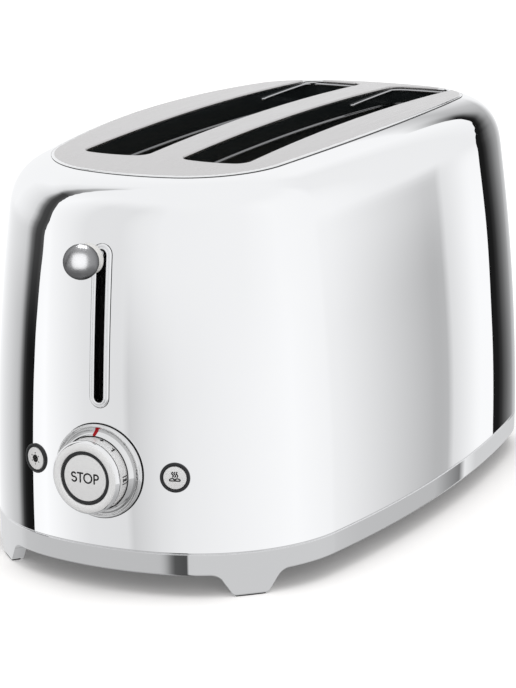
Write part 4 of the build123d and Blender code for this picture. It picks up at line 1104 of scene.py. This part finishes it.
def stroke(points, width):
    """Rows of left and right places along a pen line with round ends."""
    line, half, rows = [Vector(p) for p in points], width / 2, []
    for k, here in enumerate(line):
        inner = 0 < k < len(line) - 1
        ahead = (line[min(k + 1, len(line) - 1)] - here).normalized()
        behind = (here - line[max(k - 1, 0)]).normalized()
        way = (ahead + behind).normalized() if inner else ahead + behind
        widen = 1 / max(0.5, way.dot(ahead)) if inner else 1.0
        rows.append((here, Vector((-way.y, way.x)), half * widen, way))

    def end(row, sign):
        """Rows of a round end, from the line outwards."""
        here, side, _, way = row
        turns = [pi / 2 * k / 5 for k in range(1, 5)]
        rest = [(here + way * (sign * half * sin(t)), side, half * cos(t)) for t in turns]
        return rest + [(here + way * (sign * half), side, half * 0.02)]

    whole = end(rows[0], -1)[::-1] + [row[:3] for row in rows] + end(rows[-1], 1)
    return [(here + side * reach, here - side * reach) for here, side, reach in whole]


def inked(name, strokes, width, surface, material, body, proud=0.00005):
    """Printed marks: pen lines laid on a surface, each a thin closed strip."""
    points, faces = [], []
    for line in strokes:
        first = len(points)
        for left, right in stroke(line, width):
            points += [
                surface(left.x, left.y, -proud), surface(right.x, right.y, -proud),
                surface(right.x, right.y, proud), surface(left.x, left.y, proud),
            ]
        last = len(points) - 4
        for a in range(first, last, 4):
            faces += [(a + m, a + (m + 1) % 4, a + 4 + (m + 1) % 4, a + 4 + m) for m in range(4)]
        faces.append((first + 3, first + 2, first + 1, first))
        faces.append((last, last + 1, last + 2, last + 3))
    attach(closed_piece(name, points, faces, material, 30), body)


def ink(name, colour):
    """Flat printing ink."""
    return new_material(name, {
        "Base Color": (*colour, 1), "Roughness": 0.5, "Specular IOR Level": 0.1,
    })[0]


def on_slope(u, v, proud):
    """Place on the flange's slope: sideways and up it, above the dial."""
    radius = 0.0190 + v
    for (r0, h0), (r1, h1) in zip(SLOPE, SLOPE[1:]):
        if r1 <= radius <= r0:
            height = h0 + (h1 - h0) * (r0 - radius) / (r0 - r1)
            break
    turn = u / radius
    return DIAL_PLACE + Vector((radius * sin(turn), -height - proud, radius * cos(turn)))


pointer = [(0.0, POINTER_FOOT + POINTER_STEP * k) for k in range(7)]
red_ink = ink("red_ink", (0.40, 0.012, 0.018))
inked("dial_pointer", [pointer], POINTER_WIDTH, on_slope, red_ink, "chassis", POINTER_PROUD)

# The dial's knob: turned from solid and pushed on the spindle, its front rim polished bright
# and its barrel satin, with the browning scale printed round the barrel.
BARREL = 0.0181
KNOB_BARREL = [
    (0.0082, 0.0026), (0.0178, 0.0026), (0.0181, 0.0030), (0.0181, 0.0106), (0.0179, 0.0108),
]
KNOB_RIM = [
    (0.0179, 0.0110), (0.0182, 0.0111), (0.01845, 0.0113), (0.01855, 0.0117), (0.01845, 0.0123),
    (0.0181, 0.0129), (0.0177, 0.0133), (0.0173, 0.01355),
]
KNOB_FACE = [
    (0.0170, 0.0137), (0.0160, 0.01385), (0.0148, 0.01385), (0.0139, 0.0137), (0.0136, 0.0135),
    (0.0135, 0.0130), (0.0135, 0.0095), (0.0082, 0.0095),
]
RIM_REACH, RIM_FROM, RIM_TO = 0.0165, 0.0107, 0.01362
# Thin black ring between the barrel and the polished rim: a painted shadow line.
KNOB_SHADOW_LINE = [(0.0178, 0.01065), (0.01835, 0.0107), (0.01845, 0.01095), (0.0178, 0.01105)]
knob_satin = worked_metal("knob_satin", grey(0.90), grey(0.93), EVEN, 0.38, 120, 0.0, 0.35)
black_ink = ink("black_ink", grey(0.006))
knob = on_dial(
    "dial_turning_knob", KNOB_BARREL + KNOB_RIM + KNOB_FACE, "browning_dial", knob_satin, 128, 28)
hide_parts("dial_knob")
knob.data.materials.append(trim_chrome)
for polygon in knob.data.polygons:
    reach, height = from_axis(polygon)
    if RIM_FROM < height < RIM_TO and reach > RIM_REACH:
        polygon.material_index = 1
on_dial("knob_edge_shadow_line", KNOB_SHADOW_LINE, "browning_dial", painted_shadow_black, 128)

# The scale's figures as pen lines, then the bearing of each round the barrel, its height off
# the wall, its size and the width of its lines.
DOT = [[(-0.12, 0.5), (0.12, 0.5)]]
GRILL_SIGN = [
    [(-0.5, 0.0), (-0.5, 1.0)], [(0.5, 0.0), (0.5, 1.0)], [(-0.22, 0.1), (0.22, 0.9)],
    [(0.22, 0.1), (-0.22, 0.9)], [(0.0, 0.0), (0.0, 1.0)],
]
ONE = [[(-0.25, 0.72), (0.05, 1.0), (0.05, 0.0)]]
TWO = [[
    (-0.3, 0.72), (-0.2, 0.93), (0.0, 1.0), (0.22, 0.92), (0.28, 0.72), (0.15, 0.48), (-0.3, 0.0),
    (0.32, 0.0),
]]
THREE = [
    [(-0.28, 0.85), (-0.05, 1.0), (0.2, 0.92), (0.26, 0.74), (0.12, 0.56), (-0.08, 0.52)],
    [(-0.08, 0.52), (0.18, 0.47), (0.3, 0.27), (0.2, 0.07), (-0.05, 0.0), (-0.3, 0.14)],
]
FOUR = [[(0.15, 0.0), (0.15, 1.0), (-0.32, 0.3), (0.34, 0.3)]]
FIVE = [[
    (0.26, 1.0), (-0.2, 1.0), (-0.25, 0.56), (0.0, 0.62), (0.25, 0.5), (0.28, 0.25), (0.12, 0.03),
    (-0.12, 0.0), (-0.3, 0.12),
]]
SIX = [[
    (0.15, 1.0), (-0.12, 0.7), (-0.27, 0.35), (-0.2, 0.1), (0.0, 0.0), (0.22, 0.1), (0.28, 0.32),
    (0.15, 0.52), (-0.05, 0.56), (-0.24, 0.4),
]]
DIGITS = ((ONE, 41), (TWO, 170), (THREE, 205), (FOUR, 240), (FIVE, 275), (SIX, 310))
SCALE = [("dot", DOT, 16, 0.0048, 0.0026, 0.0014)]
SCALE += [(k + 1, digit, at, 0.0060, 0.0027, 0.00075) for k, (digit, at) in enumerate(DIGITS)]
SCALE += [("grill", GRILL_SIGN, 92, 0.0060, 0.0036, 0.00055)]


def on_barrel(bearing, height, u, v, proud):
    """Place on the knob's barrel at a clockwise bearing from the top."""
    turn = radians(bearing) + u / BARREL
    reach = BARREL + proud
    return DIAL_PLACE + Vector((reach * sin(turn), -height + v, reach * cos(turn)))


def sized(strokes, size, middle=(0.0, 0.0)):
    """Pen lines at a size in metres, with this place in their middle."""
    x0, y0 = middle
    return [[((x - x0) * size, (y - y0) * size) for x, y in line] for line in strokes]


for name, figure, bearing, height, size, width in SCALE:
    surface = partial(on_barrel, bearing, height)
    lines = sized(figure, size, (0.0, 0.5))
    inked(f"scale_{name}", lines, width, surface, black_ink, "browning_dial")

# The stop button in the middle of the dial: a satin plated disc on a short stem, with its word
# printed on it, in a ring of dark clear plastic that is moulded into the knob and lights up.
STOP_FACE = 0.0132
RING_ROWS = [(0.0118, 0.0095), (0.0118, 0.01335), (0.0134, 0.01335), (0.0134, 0.0095)]
STOP_ROWS = [
    (0.0, 0.0085), (0.0030, 0.0085), (0.0030, 0.0113), (0.0117, 0.0113), (0.0117, STOP_FACE),
    (0.0, STOP_FACE),
]
STOP_ROUND = (0.0001, 0.0001, 0.0001, 0.00035)
WORD_SIZE, WORD_WIDTH, WORD_MIDDLE = 0.0046, 0.00080, (1.68, 0.48)
ring_plastic = worked_metal(
    "ring_plastic", (0.026, 0.027, 0.029), (0.034, 0.035, 0.037), EVEN, 0.3, 500, 0.0, 0.0)
fill(ring_plastic.node_tree.nodes["Principled BSDF"], {"Specular IOR Level": 0.2})
button_satin = worked_metal("button_satin", grey(0.86), grey(0.89), EVEN, 0.4, 120, 0.0, 0.3)
light_rows = rounded(RING_ROWS, (0.0003, 0.0003), 4)
light = on_dial("dial_dark_ring", light_rows, "browning_dial", ring_plastic)
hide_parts("dial_light_ring")
stop = on_dial("stop_disc", rounded(STOP_ROWS, STOP_ROUND, 5), "stop_push", button_satin)
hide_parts("stop_button")


def arc(x, y, rx, ry, start, stop, steps=14):
    """Points on an upright oval between two angles in degrees."""
    turns = [radians(start + (stop - start) * k / steps) for k in range(steps + 1)]
    return [(x + rx * cos(t), y + ry * sin(t)) for t in turns]


def on_stop(u, v, proud):
    """Place on the stop button's face."""
    return DIAL_PLACE + Vector((u, -STOP_FACE - proud, v))


STOP_WORD = [
    arc(0.33, 0.745, 0.245, 0.235, 38, 262) + arc(0.36, 0.262, 0.275, 0.262, 82, -148)[1:],
    [(0.80, 0.98), (1.42, 0.98)], [(1.11, 0.98), (1.11, 0.0)],
    arc(2.03, 0.49, 0.47, 0.50, 90, 450, 28),
    [(2.80, 0.0), (2.80, 0.98)],
    [(2.80, 0.98), (3.05, 0.98)] + arc(3.05, 0.72, 0.25, 0.26, 90, -90)[1:] + [(2.80, 0.46)],
]
word = sized(STOP_WORD, WORD_SIZE, WORD_MIDDLE)
inked("stop_word", word, WORD_WIDTH, on_stop, black_ink, "stop_push")

# The two side buttons: satin plated caps in dark plastic rings, set square to the curved wall.
# One carries a frost sign for frozen bread, the other warm air over a roll.
CAP_FACE, SIGN_SIZE, SIGN_WIDTH = 0.0006, 0.0029, 0.00060
HOLE_RING = rounded(
    [(0.0061, -0.004), (0.0061, 0.0008), (0.0075, 0.0008), (0.0075, -0.0012)], (0.00035, 0.0006), 5)
CAP_ROWS = rounded(
    [(0.0, -0.0030), (0.0058, -0.0030), (0.0058, CAP_FACE), (0.0, CAP_FACE)], (0.0002, 0.0004), 5)
FROST_FORK = radians(24)
FROST_SIGN = []
for turn in (radians(90 + 60 * k) for k in range(6)):
    x, y = cos(turn), sin(turn)
    FROST_SIGN += [[(0.0, 0.0), (x * 0.62, y * 0.62)], [(x * 0.97, y * 0.97), (x, y)]]
    for fork in (turn - FROST_FORK, turn + FROST_FORK):
        FROST_SIGN.append([(x * 0.30, y * 0.30), (cos(fork) * 0.58, sin(fork) * 0.58)])
WARM_SIGN = [
    [(x + 0.13 * sin(pi * 2 * k / 12), 0.15 + 0.85 * k / 12) for k in range(13)]
    for x in (-0.38, 0.0, 0.38)
]
WARM_SIGN += [
    arc(-0.42, -0.42, 0.5, 0.30, 175, 60, 8), arc(0.42, -0.42, 0.5, 0.30, 120, 5, 8),
    [(-0.92, -0.42), (-0.80, -0.52), (0.80, -0.52), (0.92, -0.42)],
    arc(0.0, -0.08, 0.26, 0.22, 200, 340, 8),
]


def on_cap(place, out, u, v, proud):
    """Place on a cap's face."""
    up = Vector((0, 0, 1))
    return place + up.cross(out).normalized() * u + up * v + out * (CAP_FACE + proud)


for side, body, node, sign in (
    (-1, "defrost_push", "defrost_button", FROST_SIGN),
    (1, "reheat_push", "reheat_button", WARM_SIGN),
):
    place, out = button_place(side)
    ring = turned(f"{node}_ring", HOLE_RING, place, out, ring_plastic, 80)
    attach(ring, "chassis")
    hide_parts("button_rings")
    cap = turned(f"{node}_cap", CAP_ROWS, place, out, button_satin, 80)
    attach(cap, body)
    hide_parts(node)
    surface = partial(on_cap, place, out)
    inked(f"{node}_sign", sized(sign, SIGN_SIZE), SIGN_WIDTH, surface, black_ink, body)
